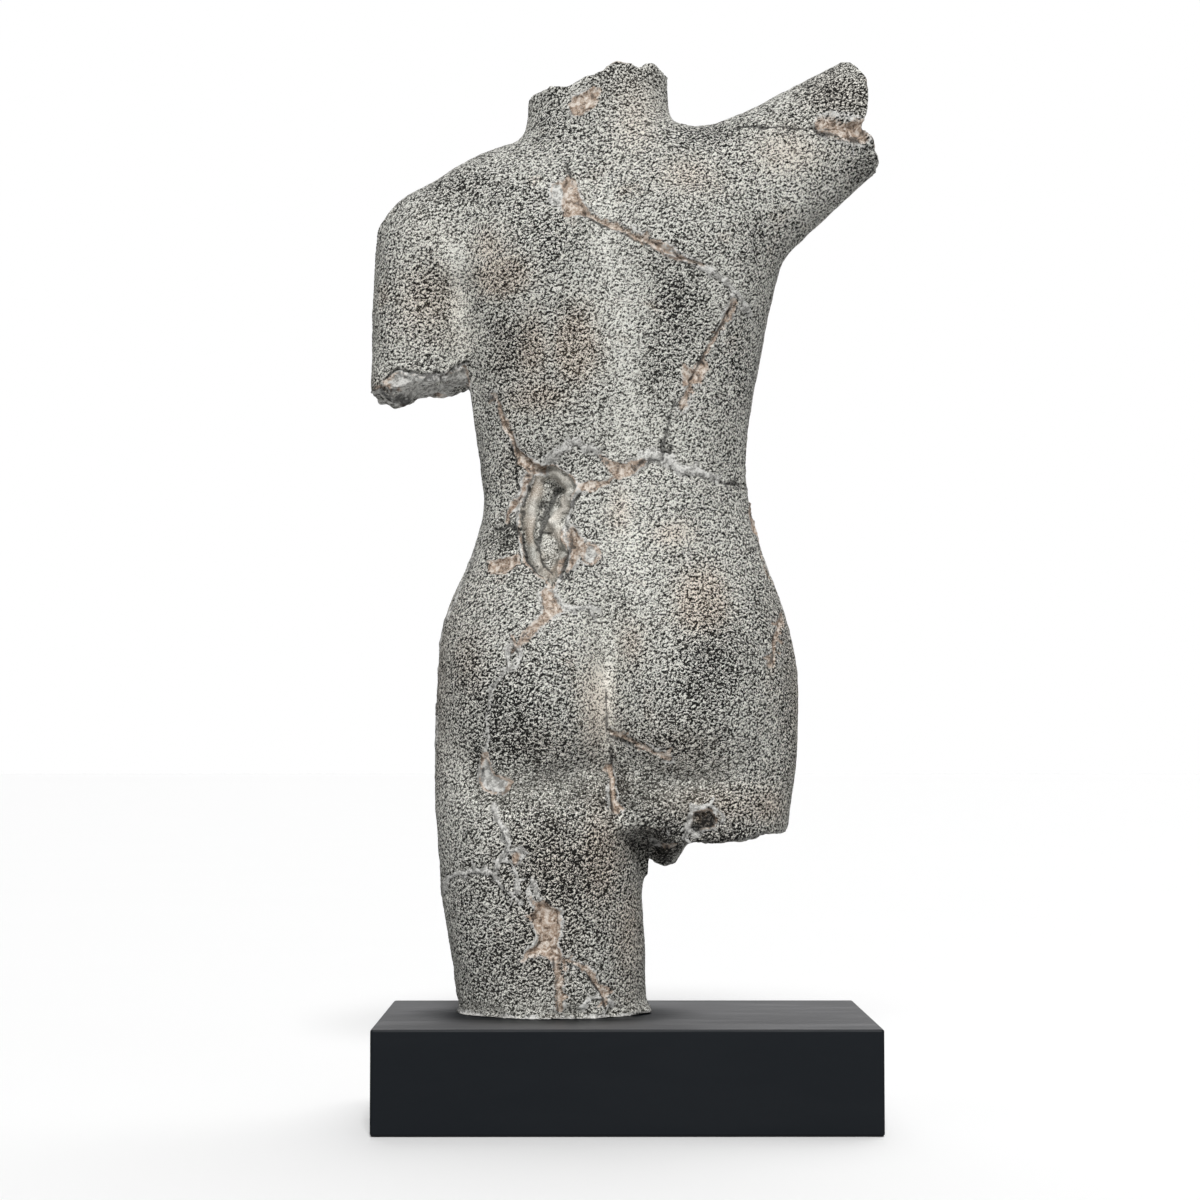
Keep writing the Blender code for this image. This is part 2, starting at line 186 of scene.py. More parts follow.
@dataclass(frozen=True)
class Photograph:
    """The view of the photograph, solved from the plinth's edges, for an image of 1200 x 1200."""

    image: int = 1200
    focal: float = 2737.0
    horizon: float = 760.0
    vanishing: float = 591.0
    station: Triple = (-19.8, -1590.0, 204.2)
    sensor: float = 36.0
    nominal: float = 0.5855

    def project(self, points: np.ndarray) -> np.ndarray:
        """Where points in millimetres appear, in pixels across and down."""
        scale = self.focal / (points[:, 1] - self.station[1])
        across = self.vanishing + (points[:, 0] - self.station[0]) * scale
        down = self.horizon - (points[:, 2] - self.station[2]) * scale
        return np.stack((across, down), axis=1)

    def camera(self) -> bpy.types.Object:
        """Makes the camera that takes this view the scene's own."""
        data = bpy.data.cameras.new("camera")
        data.sensor_width = self.sensor
        data.lens = self.sensor * self.focal / self.image
        middle = self.image / 2
        made = bpy.data.objects.new("camera", data)
        made.location = [value / MILLIMETRES for value in self.station]
        pitch = math.atan((self.horizon - middle) / self.focal)
        turn = math.atan((self.vanishing - middle) / self.focal)
        made.rotation_euler = (math.pi / 2 + pitch, 0, turn)
        bpy.context.scene.collection.objects.link(made)
        bpy.context.scene.camera = made
        return made


PHOTOGRAPH = Photograph()


@dataclass(frozen=True)
class Fill:
    """A paint along a line: how strong it is on the line, how soon it fades, and how ragged its edge is.

    Distances are in half widths of a seam, or in millimetres from a chip's rim.
    """

    paint: str
    strength: float
    fade: float = 1.0
    ragged: float = 1.0
    middle: float = 0.0

    def edge(self, away: np.ndarray, rough: np.ndarray | float) -> np.ndarray:
        """Its edge value at places that lie away from the line, which is 0 on its edge and more inside it."""
        return self.strength - np.abs(away - self.middle) / self.fade + self.ragged * rough


@dataclass
class Canvas:
    """The points of the skin, with the relief and the paint that its marks give them."""

    points: np.ndarray
    normals: np.ndarray
    lift: np.ndarray = field(init=False)
    paint: dict[str, np.ndarray] = field(init=False)
    flat: dict[Side, np.ndarray] = field(init=False)
    facing: dict[Side, np.ndarray] = field(init=False)

    def __post_init__(self) -> None:
        """Works out where each point lies on each side, and how squarely it faces it."""
        count = len(self.points)
        self.lift = np.zeros(count)
        edges = {name: np.full(count, -1.0) for name in ("earth", "plaster", "painted_shade")}
        shades = {name: np.zeros(count) for name in ("tone", "warm", "calm")}
        self.paint = edges | shades
        x, y, z = self.points.T
        view = np.array(PHOTOGRAPH.station) - self.points
        view /= np.linalg.norm(view, axis=1)[:, None]
        self.flat = {
            BACK: PHOTOGRAPH.project(self.points) * PHOTOGRAPH.nominal,
            FRONT: np.stack((x, z), axis=1),
            LEFT: np.stack((y, z), axis=1),
            RIGHT: np.stack((y, z), axis=1),
        }
        self.facing = {
            BACK: smooth(*SEEN_FROM[BACK], np.sum(view * self.normals, axis=1)),
            FRONT: smooth(*SEEN_FROM[FRONT], self.normals[:, 1]),
            LEFT: smooth(*SEEN_FROM[LEFT], -self.normals[:, 0]),
            RIGHT: smooth(*SEEN_FROM[RIGHT], self.normals[:, 0]),
        }

    def route(self, side: Side, places: tuple[Place, ...]) -> np.ndarray:
        """Places on a side as millimetres, from pixels where the side is the photograph's."""
        return np.array(places, float) * (PHOTOGRAPH.nominal if side is BACK else 1)

    def frayed(self, side: Side, some: np.ndarray, bends: tuple[Noise, Noise], stray: float, seed: int) -> np.ndarray:
        """Where some points lie on a side, moved across and down, so that what is drawn there is ragged."""
        sway = np.stack([noise.rubble(self.points[some], seed) for noise in bends], axis=1)
        return self.flat[side][some] + sway * stray

    def near(self, side: Side, route: np.ndarray, margin: float | np.ndarray) -> np.ndarray:
        """The points that face a side and lie within a margin of a route's extent."""
        low, high = route.min(axis=0) - margin, route.max(axis=0) + margin
        places = self.flat[side]
        hit = np.all((places > low) & (places < high), axis=1) & (self.facing[side] > 0)
        return np.flatnonzero(hit)

    def spread(self, name: str, some: np.ndarray, value: np.ndarray, share: np.ndarray) -> None:
        """Keeps the stronger of a paint's edge value and a new one, which fades with its share."""
        value = np.clip(value, -1, 1) * share - (1 - share)
        self.paint[name][some] = np.maximum(self.paint[name][some], value)

    def lay(self, fill: Fill, some: np.ndarray, away: np.ndarray, rough: np.ndarray | float, share: np.ndarray) -> None:
        """Spreads a fill at places that lie away from its line, with an edge as rough as is given."""
        self.spread(fill.paint, some, fill.edge(away, rough), share)

    def settle(self, name: str, some: np.ndarray, value: np.ndarray) -> None:
        """Keeps the stronger of a shade and a new one."""
        self.paint[name][some] = np.maximum(self.paint[name][some], value)


@dataclass(frozen=True)
class Seam:
    """A crack, or a mended one, along a route. Lengths across it are in shares of its half width."""

    # How many half widths off the route it still works the skin
    MARGIN = 6.0
    # How far off the middle each lip or groove lies, and how wide it is
    LIP = (1.7, 0.8)
    HAIRLINE_LIP = (1.8, 0.8)
    MENDED_GROOVE = (1.7, 0.6)
    # What paints it: strength, fading, raggedness. The shade fills are painted shade: a shadow beside the seam on its
    # lower side, and a dark line along a crack
    EARTH_FILL = Fill("earth", 1.0, 1.1, 0.5)
    LIP_PLASTER = Fill("plaster", -0.6, 0.8, middle=1.7)
    EARTH_SHADE = Fill("painted_shade", 0.45, 0.8)
    PLASTER_FILL = Fill("plaster", 0.85, ragged=0.5)
    MENDED_SHADE = Fill("painted_shade", 0.2, 0.7)
    CRACK_FILL = Fill("painted_shade", 0.6)
    # A fold is browner by a usual share and a swing, and smoother, within edges
    FOLD_WARMTH = (0.15, 0.35)
    FOLD_WARM_EDGE = (1.3, 0.6)
    FOLD_CALM = 1.2
    FOLD_CALM_EDGE = (1.5, 0.7)
    # Which way the painted shadow beside a seam lies off its route, in half widths
    SHADED_SIDE = (0.9, -1.2)
    BENDS = (Noise.SEAM_ACROSS, Noise.SEAM_DOWN)
    # The usual width along the way, its swing, and the least
    WIDTHS = (1.2, 0.8, 0.3)
    CREST_SWING = 0.7
    # Side cracks: one in so many millimetres, turned by so many radians, so many millimetres long
    SPUR_EVERY = 7.0
    SPUR_TURN = (0.5, 1.3)
    SPUR_LENGTH = (2.0, 6.0)
    SPUR_NARROWING = 1.7

    look: Look
    route: tuple[Place, ...]
    half_width: float = 1.5
    depth: float = 1.2
    lip: float = 0.6
    stray: float = 1.5
    side: Side = BACK

    def work(self, canvas: Canvas, seed: int) -> None:
        """Works the seam into the skin.

        Args:
            canvas: The skin's points.
            seed: Which pattern the raggedness of this seam takes.
        """
        route = canvas.route(self.side, self.route)
        some = canvas.near(self.side, route, self.MARGIN * self.half_width + 2 * self.stray)
        if not len(some):
            return
        points, share = canvas.points[some], canvas.facing[self.side][some]
        places = canvas.frayed(self.side, some, self.BENDS, self.stray, seed)
        away = distance_to(places, route)
        for spur in self.spurs(route, seed):
            away = np.minimum(away, self.SPUR_NARROWING * distance_to(places, spur))
        usual, swing, least = self.WIDTHS
        away = away / (self.half_width * (usual + swing * Noise.WIDTH.rubble(points, seed)).clip(least))
        uneven = 1 + self.CREST_SWING * Noise.CREST.rubble(points, seed)
        # Painted shadow: distances from the route, moved towards its lower, shaded side
        under = distance_to(places + self.half_width * np.array(self.SHADED_SIDE), route) / self.half_width
        if self.look is EARTH:
            lift = uneven * self.lip * ridge(away, *self.LIP) - self.depth * ridge(away)
            canvas.lay(self.EARTH_FILL, some, away, Noise.CRACK_EARTH.lumps(points, seed), share)
            canvas.lay(self.LIP_PLASTER, some, away, uneven, share)
            canvas.lay(self.EARTH_SHADE, some, under, Noise.CRACK_SHADE.lumps(points, seed), share)
        elif self.look is PLASTER:
            lift = uneven * self.lip * ridge(away) - self.depth * ridge(away, *self.MENDED_GROOVE)
            canvas.lay(self.PLASTER_FILL, some, away, uneven, share)
            canvas.lay(self.MENDED_SHADE, some, under, Noise.MENDED_SHADE.lumps(points, seed), share)
        elif self.look is HAIRLINE:
            lift = self.lip * ridge(away, *self.HAIRLINE_LIP) - self.depth * ridge(away)
            canvas.lay(self.CRACK_FILL, some, away, 0.0, share)
        else:
            lift = self.lip * np.exp(-(away**3))
            usual, swing = self.FOLD_WARMTH
            warmth = usual + swing * Noise.FOLD_TINT.lumps(points, seed)
            canvas.settle("warm", some, warmth * share * smooth(*self.FOLD_WARM_EDGE, away))
            canvas.settle("calm", some, self.FOLD_CALM * share * smooth(*self.FOLD_CALM_EDGE, away))
        canvas.lift[some] += lift * share

    def spurs(self, route: np.ndarray, seed: int) -> list[np.ndarray]:
        """Short side cracks off the route, on sides and at angles that the seed gives."""
        if self.look is FOLD:
            return []
        chance = np.random.default_rng(seed)
        found = []
        for start, end in zip(route, route[1:]):
            run = end - start
            length = float(np.linalg.norm(run))
            for _ in range(int(length / self.SPUR_EVERY + chance.random())):
                root = start + run * chance.random()
                turn = math.copysign(chance.uniform(*self.SPUR_TURN), chance.random() - 0.5)
                c, s = math.cos(turn), math.sin(turn)
                out = np.array((c * run[0] - s * run[1], s * run[0] + c * run[1])) / length
                found.append(np.array((root, root + out * chance.uniform(*self.SPUR_LENGTH))))
        return found


@dataclass(frozen=True)
class Chip:
    """A place where the surface has flaked off within an outline."""

    MARGIN = 5.0
    BENDS = (Noise.CHIP_ACROSS, Noise.CHIP_DOWN)
    FLOOR_SWING = 0.35
    RIM_WIDTH = 1.1
    RIM_PLASTER = Fill("plaster", 0.7, 1.1, middle=-0.3)
    RIM_EARTH = Fill("earth", 0.5, 1.2, -1.0, middle=0.4)
    # Painted shade just inside the rim, at the foot of the chip's wall
    RIM_SHADE = Fill("painted_shade", 0.1, 0.6, middle=1.2)
    FILL_EDGE = 1.2
    MURKINESS = 0.9
    CALM_EDGE = (-0.5, 1.5)

    look: Look
    outline: tuple[Place, ...]
    depth: float = 1.4
    rim: float = 0.6
    wall: float = 2.0
    calm: float = 0.6
    stray: float = 1.0
    side: Side = BACK

    def work(self, canvas: Canvas, seed: int) -> None:
        """Sinks the chip into the skin.

        Args:
            canvas: The skin's points.
            seed: Which pattern the raggedness of this chip takes.
        """
        outline = canvas.route(self.side, self.outline)
        some = canvas.near(self.side, outline, self.MARGIN)
        if not len(some):
            return
        points, share = canvas.points[some], canvas.facing[self.side][some]
        places = canvas.frayed(self.side, some, self.BENDS, self.stray, seed)
        within = distance_to(places, np.vstack((outline, outline[:1])))
        within = np.where(inside(places, outline), within, -within)
        floor = self.depth * (1 + self.FLOOR_SWING * Noise.FLOOR.rubble(points, seed))
        lift = self.rim * ridge(within, 0.0, self.RIM_WIDTH) - floor * smooth(0, self.wall, within)
        canvas.lift[some] += lift * share
        turn = Noise.RIM_TURN.lumps(points, seed)
        canvas.lay(self.RIM_PLASTER, some, within, turn, share)
        canvas.lay(self.RIM_EARTH, some, within, turn, share)
        canvas.lay(self.RIM_SHADE, some, within, Noise.RIM_SHADE.lumps(points, seed), share)
        if self.look in (EARTH, PLASTER, CAVITY):
            cover = within / self.FILL_EDGE
            # A cavity is filled with painted shade, broken up by murk
            if self.look is CAVITY:
                cover = np.minimum(cover, self.MURKINESS * Noise.MURK.lumps(points, seed))
            canvas.spread(self.look.value, some, cover, share)
        canvas.settle("calm", some, self.calm * share * smooth(*self.CALM_EDGE, within))


@dataclass(frozen=True)
class StainAndLight:
    """A soft patch where the patina is lighter (above 0) or darker, browner or smoother. Most are stains; a few are
    painted light and shade.
    """

    MARGIN = 2.0
    RAGGED = 0.35

    centre: Place
    reach: Place
    tone: float = 0.0
    warm: float = 0.0
    calm: float = 0.0
    side: Side = BACK

    def work(self, canvas: Canvas) -> None:
        """Tints the skin."""
        centre, reach = canvas.route(self.side, (self.centre, self.reach))
        some = canvas.near(self.side, np.array((centre, centre)), self.MARGIN * reach)
        off = (canvas.flat[self.side][some] - centre) / reach
        edge = 1 + self.RAGGED * Noise.STAIN_EDGE.rubble(canvas.points[some])
        share = canvas.facing[self.side][some] * np.exp(-np.sum(off * off, axis=1) * edge)
        canvas.paint["tone"][some] += self.tone * share
        canvas.settle("warm", some, self.warm * share)
        canvas.settle("calm", some, self.calm * share)


@dataclass(frozen=True)
class Band:
    """A long soft stretch where the patina is lighter and smoother, from wear, and on the crests round the hollow as a
    painted highlight.
    """

    MARGIN = 2.5
    RAGGED = 0.3

    route: tuple[Place, ...]
    half_width: float
    tone: float
    calm: float
    side: Side = BACK

    def work(self, canvas: Canvas) -> None:
        """Tints the skin along the route."""
        route = canvas.route(self.side, self.route)
        some = canvas.near(self.side, route, self.MARGIN * self.half_width)
        away = distance_to(canvas.flat[self.side][some], route) / self.half_width
        away = away * (1 + self.RAGGED * Noise.BAND_EDGE.rubble(canvas.points[some]))
        share = canvas.facing[self.side][some] * ridge(away)
        canvas.paint["tone"][some] += self.tone * share
        canvas.settle("calm", some, self.calm * share)


@dataclass(frozen=True)
class Break:
    """A broken end: the box it lies in, which way it faces, and how rough it is, in millimetres."""

    # How squarely the skin faces the break's way: from not at all to fully
    TURNED = (0.45, 0.75)
    TINT = 0.2
    CALM = 0.35
    SWING = 1.4

    low: Triple
    high: Triple
    towards: Triple
    rough: float = 1.3
    earth: float = 0.0
    plaster: float = 0.3

    def work(self, canvas: Canvas, seed: int) -> None:
        """Roughens the broken end and lightens it.

        Args:
            canvas: The skin's points.
            seed: Which pattern its roughness takes.
        """
        held = np.all((canvas.points > self.low) & (canvas.points < self.high), axis=1)
        some = np.flatnonzero(held)
        points = canvas.points[some]
        share = smooth(*self.TURNED, canvas.normals[some] @ np.array(self.towards))
        canvas.lift[some] += share * self.rough * Noise.ROUGHNESS.rubble(points, seed)
        canvas.paint["tone"][some] += share * self.TINT * Noise.BROKEN_TINT.lumps(points, seed)
        canvas.settle("calm", some, share * self.CALM)
        bare, pale = Noise.BROKEN_EARTH.lumps(points, seed), Noise.BROKEN_PLASTER.lumps(points, seed)
        canvas.spread("earth", some, self.earth - 1 + self.SWING * bare, share)
        canvas.spread("plaster", some, self.plaster - 1 + self.SWING * pale, share)


# Places on the back are in the photograph's pixels, and on the other sides in millimetres
SEAMS = {
    "neck to blade": Seam(HAIRLINE, ((568, 160), (570, 170), (574, 181)), 0.8, 1.0),
    "across the back": Seam(
        EARTH, ((586, 208), (607, 219), (627, 228), (650, 238), (680, 253), (702, 263)), 1.3, 1.5, 0.54
    ),
    "to the right armpit": Seam(PLASTER, ((702, 263), (720, 273), (733, 283), (740, 296), (752, 312)), 1.1, 0.85, 0.42),
    "down the right blade": Seam(
        EARTH, ((737, 300), (727, 314), (713, 340), (703, 360), (690, 384), (680, 406)), 1.2, 1.4, 0.42
    ),
    "left flank, start": Seam(EARTH, ((493, 392), (497, 402), (504, 416)), 1.0, 1.2, 0.3),
    "below the waist": Seam(EARTH, ((512, 650), (522, 638), (536, 622)), 1.0, 1.4, 0.5),
    "lip left of the hollow": Seam(HAIRLINE, ((496, 527), (510, 525), (520, 534)), 0.9, 1.6, 0.4),
    "left flank, outer": Seam(HAIRLINE, ((511, 448), (516, 462), (514, 480), (519, 492)), 0.84, 1.1),
    "waist, upper": Seam(
        PLASTER, ((544, 462), (553, 457), (560, 450), (569, 438), (583, 447), (597, 453)), 1.4, 0.9, 0.7
    ),
    "waist, right": Seam(
        PLASTER, ((636, 463), (648, 453), (663, 457), (680, 466), (697, 471), (717, 479)), 1.7, 0.9, 0.8
    ),
    "waist, far right": Seam(HAIRLINE, ((715, 478), (728, 482), (748, 485)), 0.84, 0.96),
    "up from the waist": Seam(HAIRLINE, ((664, 457), (666, 437), (670, 420), (677, 398)), 0.77, 0.96),
    "waist knot": Seam(HAIRLINE, ((664, 440), (660, 448), (664, 456), (672, 452), (670, 443)), 0.7, 0.8),
    "below the hollow, right": Seam(
        PLASTER, ((556, 594), (562, 604), (573, 608), (589, 606), (594, 620)), 1, 0.76, 0.48
    ),
    "over the thigh chip": Seam(PLASTER, ((688, 818), (693, 807), (712, 804), (721, 814), (720, 824)), 0.9, 0.3, 1.0),
    "beside the thigh chip": Seam(PLASTER, ((689, 822), (683, 836), (689, 843)), 0.8, 0.3, 1.0),
    "ring": Seam(PLASTER, ((511, 646), (506, 655), (508, 667), (516, 665), (520, 653), (514, 645)), 0.98, 0.85, 0.54),
    "left buttock": Seam(
        PLASTER, ((508, 667), (500, 678), (491, 694), (486, 714), (489, 737), (486, 757)), 0.55, 0.85, 0.42
    ),
    "under the cleft": Seam(EARTH, ((611, 731), (634, 743), (651, 750), (671, 757)), 1.3, 0.85, 0.18),
    "inner thigh": Seam(EARTH, ((608, 766), (613, 790), (618, 812)), 1.2, 1.2, 0.18),
    "right hip": Seam(EARTH, ((784, 616), (775, 643), (771, 667)), 1.2, 1.1, 0.3),
    "left thigh": Seam(
        PLASTER, ((494, 806), (500, 820), (507, 833), (509, 842), (501, 857), (496, 872)), 0.75, 1.1, 0.7
    ),
    "left thigh, outward": Seam(
        PLASTER, ((496, 873), (482, 871), (470, 869), (458, 872), (448, 878), (444, 890)), 1.3, 1.0, 0.5
    ),
    "left thigh, inward": Seam(PLASTER, ((494, 874), (503, 884), (512, 892), (521, 900)), 0.95, 1.1, 0.6),
    "left thigh loop": Seam(
        PLASTER, ((516, 889), (517, 876), (516, 867), (507, 860), (508, 851), (520, 848), (527, 853), (518, 867)),
        0.8, 1.0, 0.8,
    ),
    "above the scar": Seam(PLASTER, ((531, 880), (536, 892), (541, 902)), 0.9, 0.9, 0.7),
    "leg, down": Seam(EARTH, ((556, 955), (560, 980), (560, 1006)), 1.3, 1.2, 0.48),
    "leg, inward": Seam(EARTH, ((559, 957), (577, 963), (593, 973), (603, 993), (606, 1003)), 1.1, 1, 0.42),
    "foot": Seam(PLASTER, ((584, 1005), (592, 998), (604, 996), (612, 1004)), 0.98, 0.76, 0.42),
    "raised arm": Seam(HAIRLINE, ((736, 122), (760, 120), (790, 121), (815, 120), (832, 121)), 0.7, 0.8, 0.5),
    "raised arm, open": Seam(EARTH, ((822, 120), (838, 121), (850, 124), (864, 130)), 2.3, 1.9, 0.7),
    "left arm": Seam(HAIRLINE, ((384, 377), (398, 368), (420, 374), (442, 372), (466, 360)), 0.91, 1.1),
    "ridge round the hollow": Seam(
        FOLD,
        (
            (550, 577), (543, 569), (536, 558), (532, 545), (530, 525), (532, 506), (536, 487), (538, 478),
            (545, 473), (552, 473), (564, 480), (572, 488), (565, 500), (557, 512), (551, 522),
        ),
        3.4, 0, 5.2, 0.4,
    ),
    "lower ridge": Seam(FOLD, ((553, 524), (560, 536), (563, 549), (559, 563), (554, 575)), 3.2, 0, 4.8, 0.4),
    # The channel and the dark lines on either side of the ridges are painted shade, which makes the ridges read as
    # rounded
    "channel": Seam(
        HAIRLINE, ((552, 489), (545, 504), (543, 520), (543, 538), (543, 552), (547, 564), (552, 574)), 1.4, 2.2, 0
    ),
    "left of the ridge": Seam(
        HAIRLINE, ((551, 585), (539, 574), (529, 560), (524, 544), (522, 526), (523, 508), (528, 486)), 0.9, 1.4, 0
    ),
    "right of the ridge": Seam(
        HAIRLINE, ((580, 491), (573, 504), (564, 518), (569, 535), (572, 550), (566, 566), (559, 580)), 0.8, 1.2, 0
    ),
    "cleft": Seam(HAIRLINE, ((607, 690), (607, 735), (611, 765)), 0.8, 1.2, 0.2),
    "collar": Seam(EARTH, ((-70, 545), (-40, 538), (-8, 546), (22, 536), (52, 548)), 1.2, 1.3, 0.42, side=FRONT),
    "between the breasts": Seam(
        PLASTER, ((-8, 540), (-14, 500), (2, 466), (-6, 430), (8, 400)), 1.1, 0.95, 0.48, side=FRONT
    ),
    "right ribs": Seam(EARTH, ((8, 402), (30, 388), (52, 394), (74, 376)), 1.3, 1.3, 0.48, side=FRONT),
    "left ribs": Seam(HAIRLINE, ((6, 404), (-22, 392), (-44, 402), (-70, 388)), 0.91, 1, side=FRONT),
    "belly": Seam(PLASTER, ((40, 340), (22, 322), (30, 300), (8, 282), (14, 262)), 1.1, 0.95, 0.48, side=FRONT),
    "left groin": Seam(EARTH, ((-80, 262), (-62, 240), (-66, 214), (-48, 190), (-52, 168)), 1.3, 1.3, 0.48, side=FRONT),
    "front of the leg": Seam(
        PLASTER, ((-52, 168), (-40, 140), (-58, 112), (-46, 84), (-52, 66)), 1.1, 0.95, 0.48, side=FRONT
    ),
    "right thigh, front": Seam(HAIRLINE, ((82, 250), (70, 226), (76, 200), (62, 178)), 0.91, 1, side=FRONT),
    "left side": Seam(PLASTER, ((16, 330), (4, 296), (18, 262), (6, 222), (20, 190)), 1.1, 0.95, 0.48, side=LEFT),
    "left outer leg": Seam(EARTH, ((34, 150), (22, 124), (30, 96), (18, 72)), 1.2, 1.2, 0.48, side=LEFT),
    "left shoulder": Seam(HAIRLINE, ((-6, 528), (8, 500), (2, 470), (16, 444)), 0.91, 1, side=LEFT),
    "right side": Seam(EARTH, ((30, 420), (14, 388), (26, 350), (8, 316), (22, 286)), 1.3, 1.3, 0.48, side=RIGHT),
    "right outer hip": Seam(PLASTER, ((22, 286), (40, 252), (28, 220), (44, 190)), 1.1, 0.95, 0.48, side=RIGHT),
}

CHIPS = {
    "hollow at the waist": Chip(
        FOLD,
        (
            (530, 472), (539, 465), (555, 464), (570, 474), (582, 485), (575, 495), (569, 514), (562, 529),
            (568, 545), (569, 554), (562, 564), (559, 581), (552, 590), (539, 577), (524, 562), (521, 541),
            (518, 529), (521, 506), (525, 487),
        ),
        5.5, 0.7, 3.2, 0.5, 0.6,
    ),
    "neck": Chip(EARTH, ((573, 90), (593, 80), (601, 83), (594, 97), (582, 109), (572, 110), (569, 99)), 1.8),
    "under the nape": Chip(
        EARTH, ((560, 180), (568, 173), (577, 180), (583, 196), (592, 215), (578, 211), (565, 213)), 1.6
    ),
    "nape, plaster": Chip(PLASTER, ((549, 180), (562, 175), (566, 184), (560, 202), (550, 196)), 0.3, 0.4),
    "across the back, mended": Chip(
        PLASTER,
        ((650, 235), (662, 236), (673, 242), (684, 253), (688, 259), (676, 256), (664, 249), (654, 243)),
        0.2, 0.7, 1.0, 0.5, 1.2,
    ),
    "right blade, upper": Chip(EARTH, ((727, 306), (735, 303), (732, 315), (723, 322)), 1.0),
    "right blade, lower": Chip(EARTH, ((703, 358), (709, 366), (699, 382), (684, 385), (682, 362), (692, 370)), 1.4),
    "left flank": Chip(
        EARTH,
        (
            (497, 402), (507, 420), (514, 441), (526, 455), (541, 465), (545, 474), (531, 471), (520, 463),
            (514, 451), (508, 437), (502, 421),
        ),
        1.6, 0.5, 1.2, 0.4, 1.4,
    ),
    "beside the hollow": Chip(
        EARTH,
        (
            (533, 470), (530, 482), (524, 494), (518, 505), (511, 513), (505, 523), (508, 511), (512, 503),
            (520, 495), (524, 484), (526, 474),
        ),
        1.4, 0.5, 1.2, 0.4, 1.2,
    ),
    "under the hollow": Chip(
        EARTH,
        (
            (547, 588), (554, 590), (558, 603), (563, 611), (552, 617), (541, 627), (529, 640), (516, 650),
            (527, 632), (538, 620), (543, 606), (541, 594),
        ),
        1.6, 0.6, 1.4, 0.5, 1.2,
    ),
    "waist patch": Chip(
        EARTH,
        ((600, 454), (613, 461), (627, 463), (648, 453), (643, 465), (631, 474), (618, 478), (611, 469)),
        0.5, 0.3, 1.2, 0.4, 1.2,
    ),
    "waist, lower": Chip(
        EARTH, ((579, 485), (590, 480), (603, 481), (616, 477), (604, 486), (592, 491), (582, 492)),
        1.0, 0.4, 1.2, 0.4, 1.0,
    ),
    "right of the hollow": Chip(
        EARTH,
        ((567, 530), (573, 526), (582, 537), (587, 549), (579, 556), (573, 568), (567, 573), (570, 556), (568, 543)),
        0.8, 0.4, 1.4, 0.5, 1.2,
    ),
    "right of the hollow, plaster": Chip(
        PLASTER, ((588, 541), (598, 549), (601, 558), (592, 566), (583, 560)), 0.4, 0.7, 1.2, 0.2, 1.6
    ),
    "left terracotta": Chip(EARTH, ((489, 562), (502, 560), (518, 555), (521, 563), (506, 571), (492, 573)), 1.4),
    "left fold patch": Chip(
        PLASTER, ((484, 754), (489, 752), (492, 772), (512, 782), (505, 794), (484, 790), (479, 777)), 0.5, 0.4
    ),
    "right thigh chip": Chip(
        CAVITY, ((693, 811), (711, 809), (717, 818), (714, 828), (702, 830), (696, 836), (690, 828)), 2.2, 0.9, 1.4
    ),
    "scar": Chip(
        EARTH,
        (
            (531, 892), (537, 901), (544, 899), (552, 906), (560, 911), (561, 928), (558, 944), (563, 957),
            (554, 962), (545, 954), (529, 957), (518, 962), (527, 951), (536, 946), (538, 936), (533, 922),
            (526, 914), (534, 909),
        ),
        1.8, 1.1, 1.4, 0.5, 1.6,
    ),
    "inside the loop": Chip(EARTH, ((511, 853), (521, 852), (522, 858), (515, 863)), 1.6, 0.2, 1.0),
    "left arm break": Chip(
        PLASTER,
        ((384, 378), (398, 370), (420, 375), (442, 373), (466, 362), (470, 392), (440, 395), (412, 401), (396, 404)),
        0.7, 0.9, 3.0, 0.15,
    ),
    "left arm tip": Chip(
        CAVITY, ((366, 386), (384, 382), (404, 392), (412, 400), (398, 416), (370, 414)), 0.8, 0.3, stray=1.6
    ),
    "raised arm notch": Chip(EARTH, ((845, 118), (866, 114), (868, 134), (856, 133)), 1.6, 0.6),
    "breast": Chip(EARTH, ((-52, 508), (-40, 512), (-34, 500), (-44, 490), (-56, 496)), 1.4, side=FRONT),
    "ribs": Chip(PLASTER, ((66, 384), (78, 380), (82, 368), (72, 362), (64, 372)), 0.8, side=FRONT),
    "thigh": Chip(EARTH, ((-62, 196), (-48, 200), (-40, 186), (-46, 170), (-56, 172), (-66, 184)), 1.5, side=FRONT),
    "left knee": Chip(PLASTER, ((-58, 118), (-46, 122), (-38, 108), (-48, 98), (-60, 104)), 0.8, side=FRONT),
    "flank": Chip(EARTH, ((10, 350), (22, 356), (28, 342), (18, 332), (8, 338)), 1.3, side=RIGHT),
}
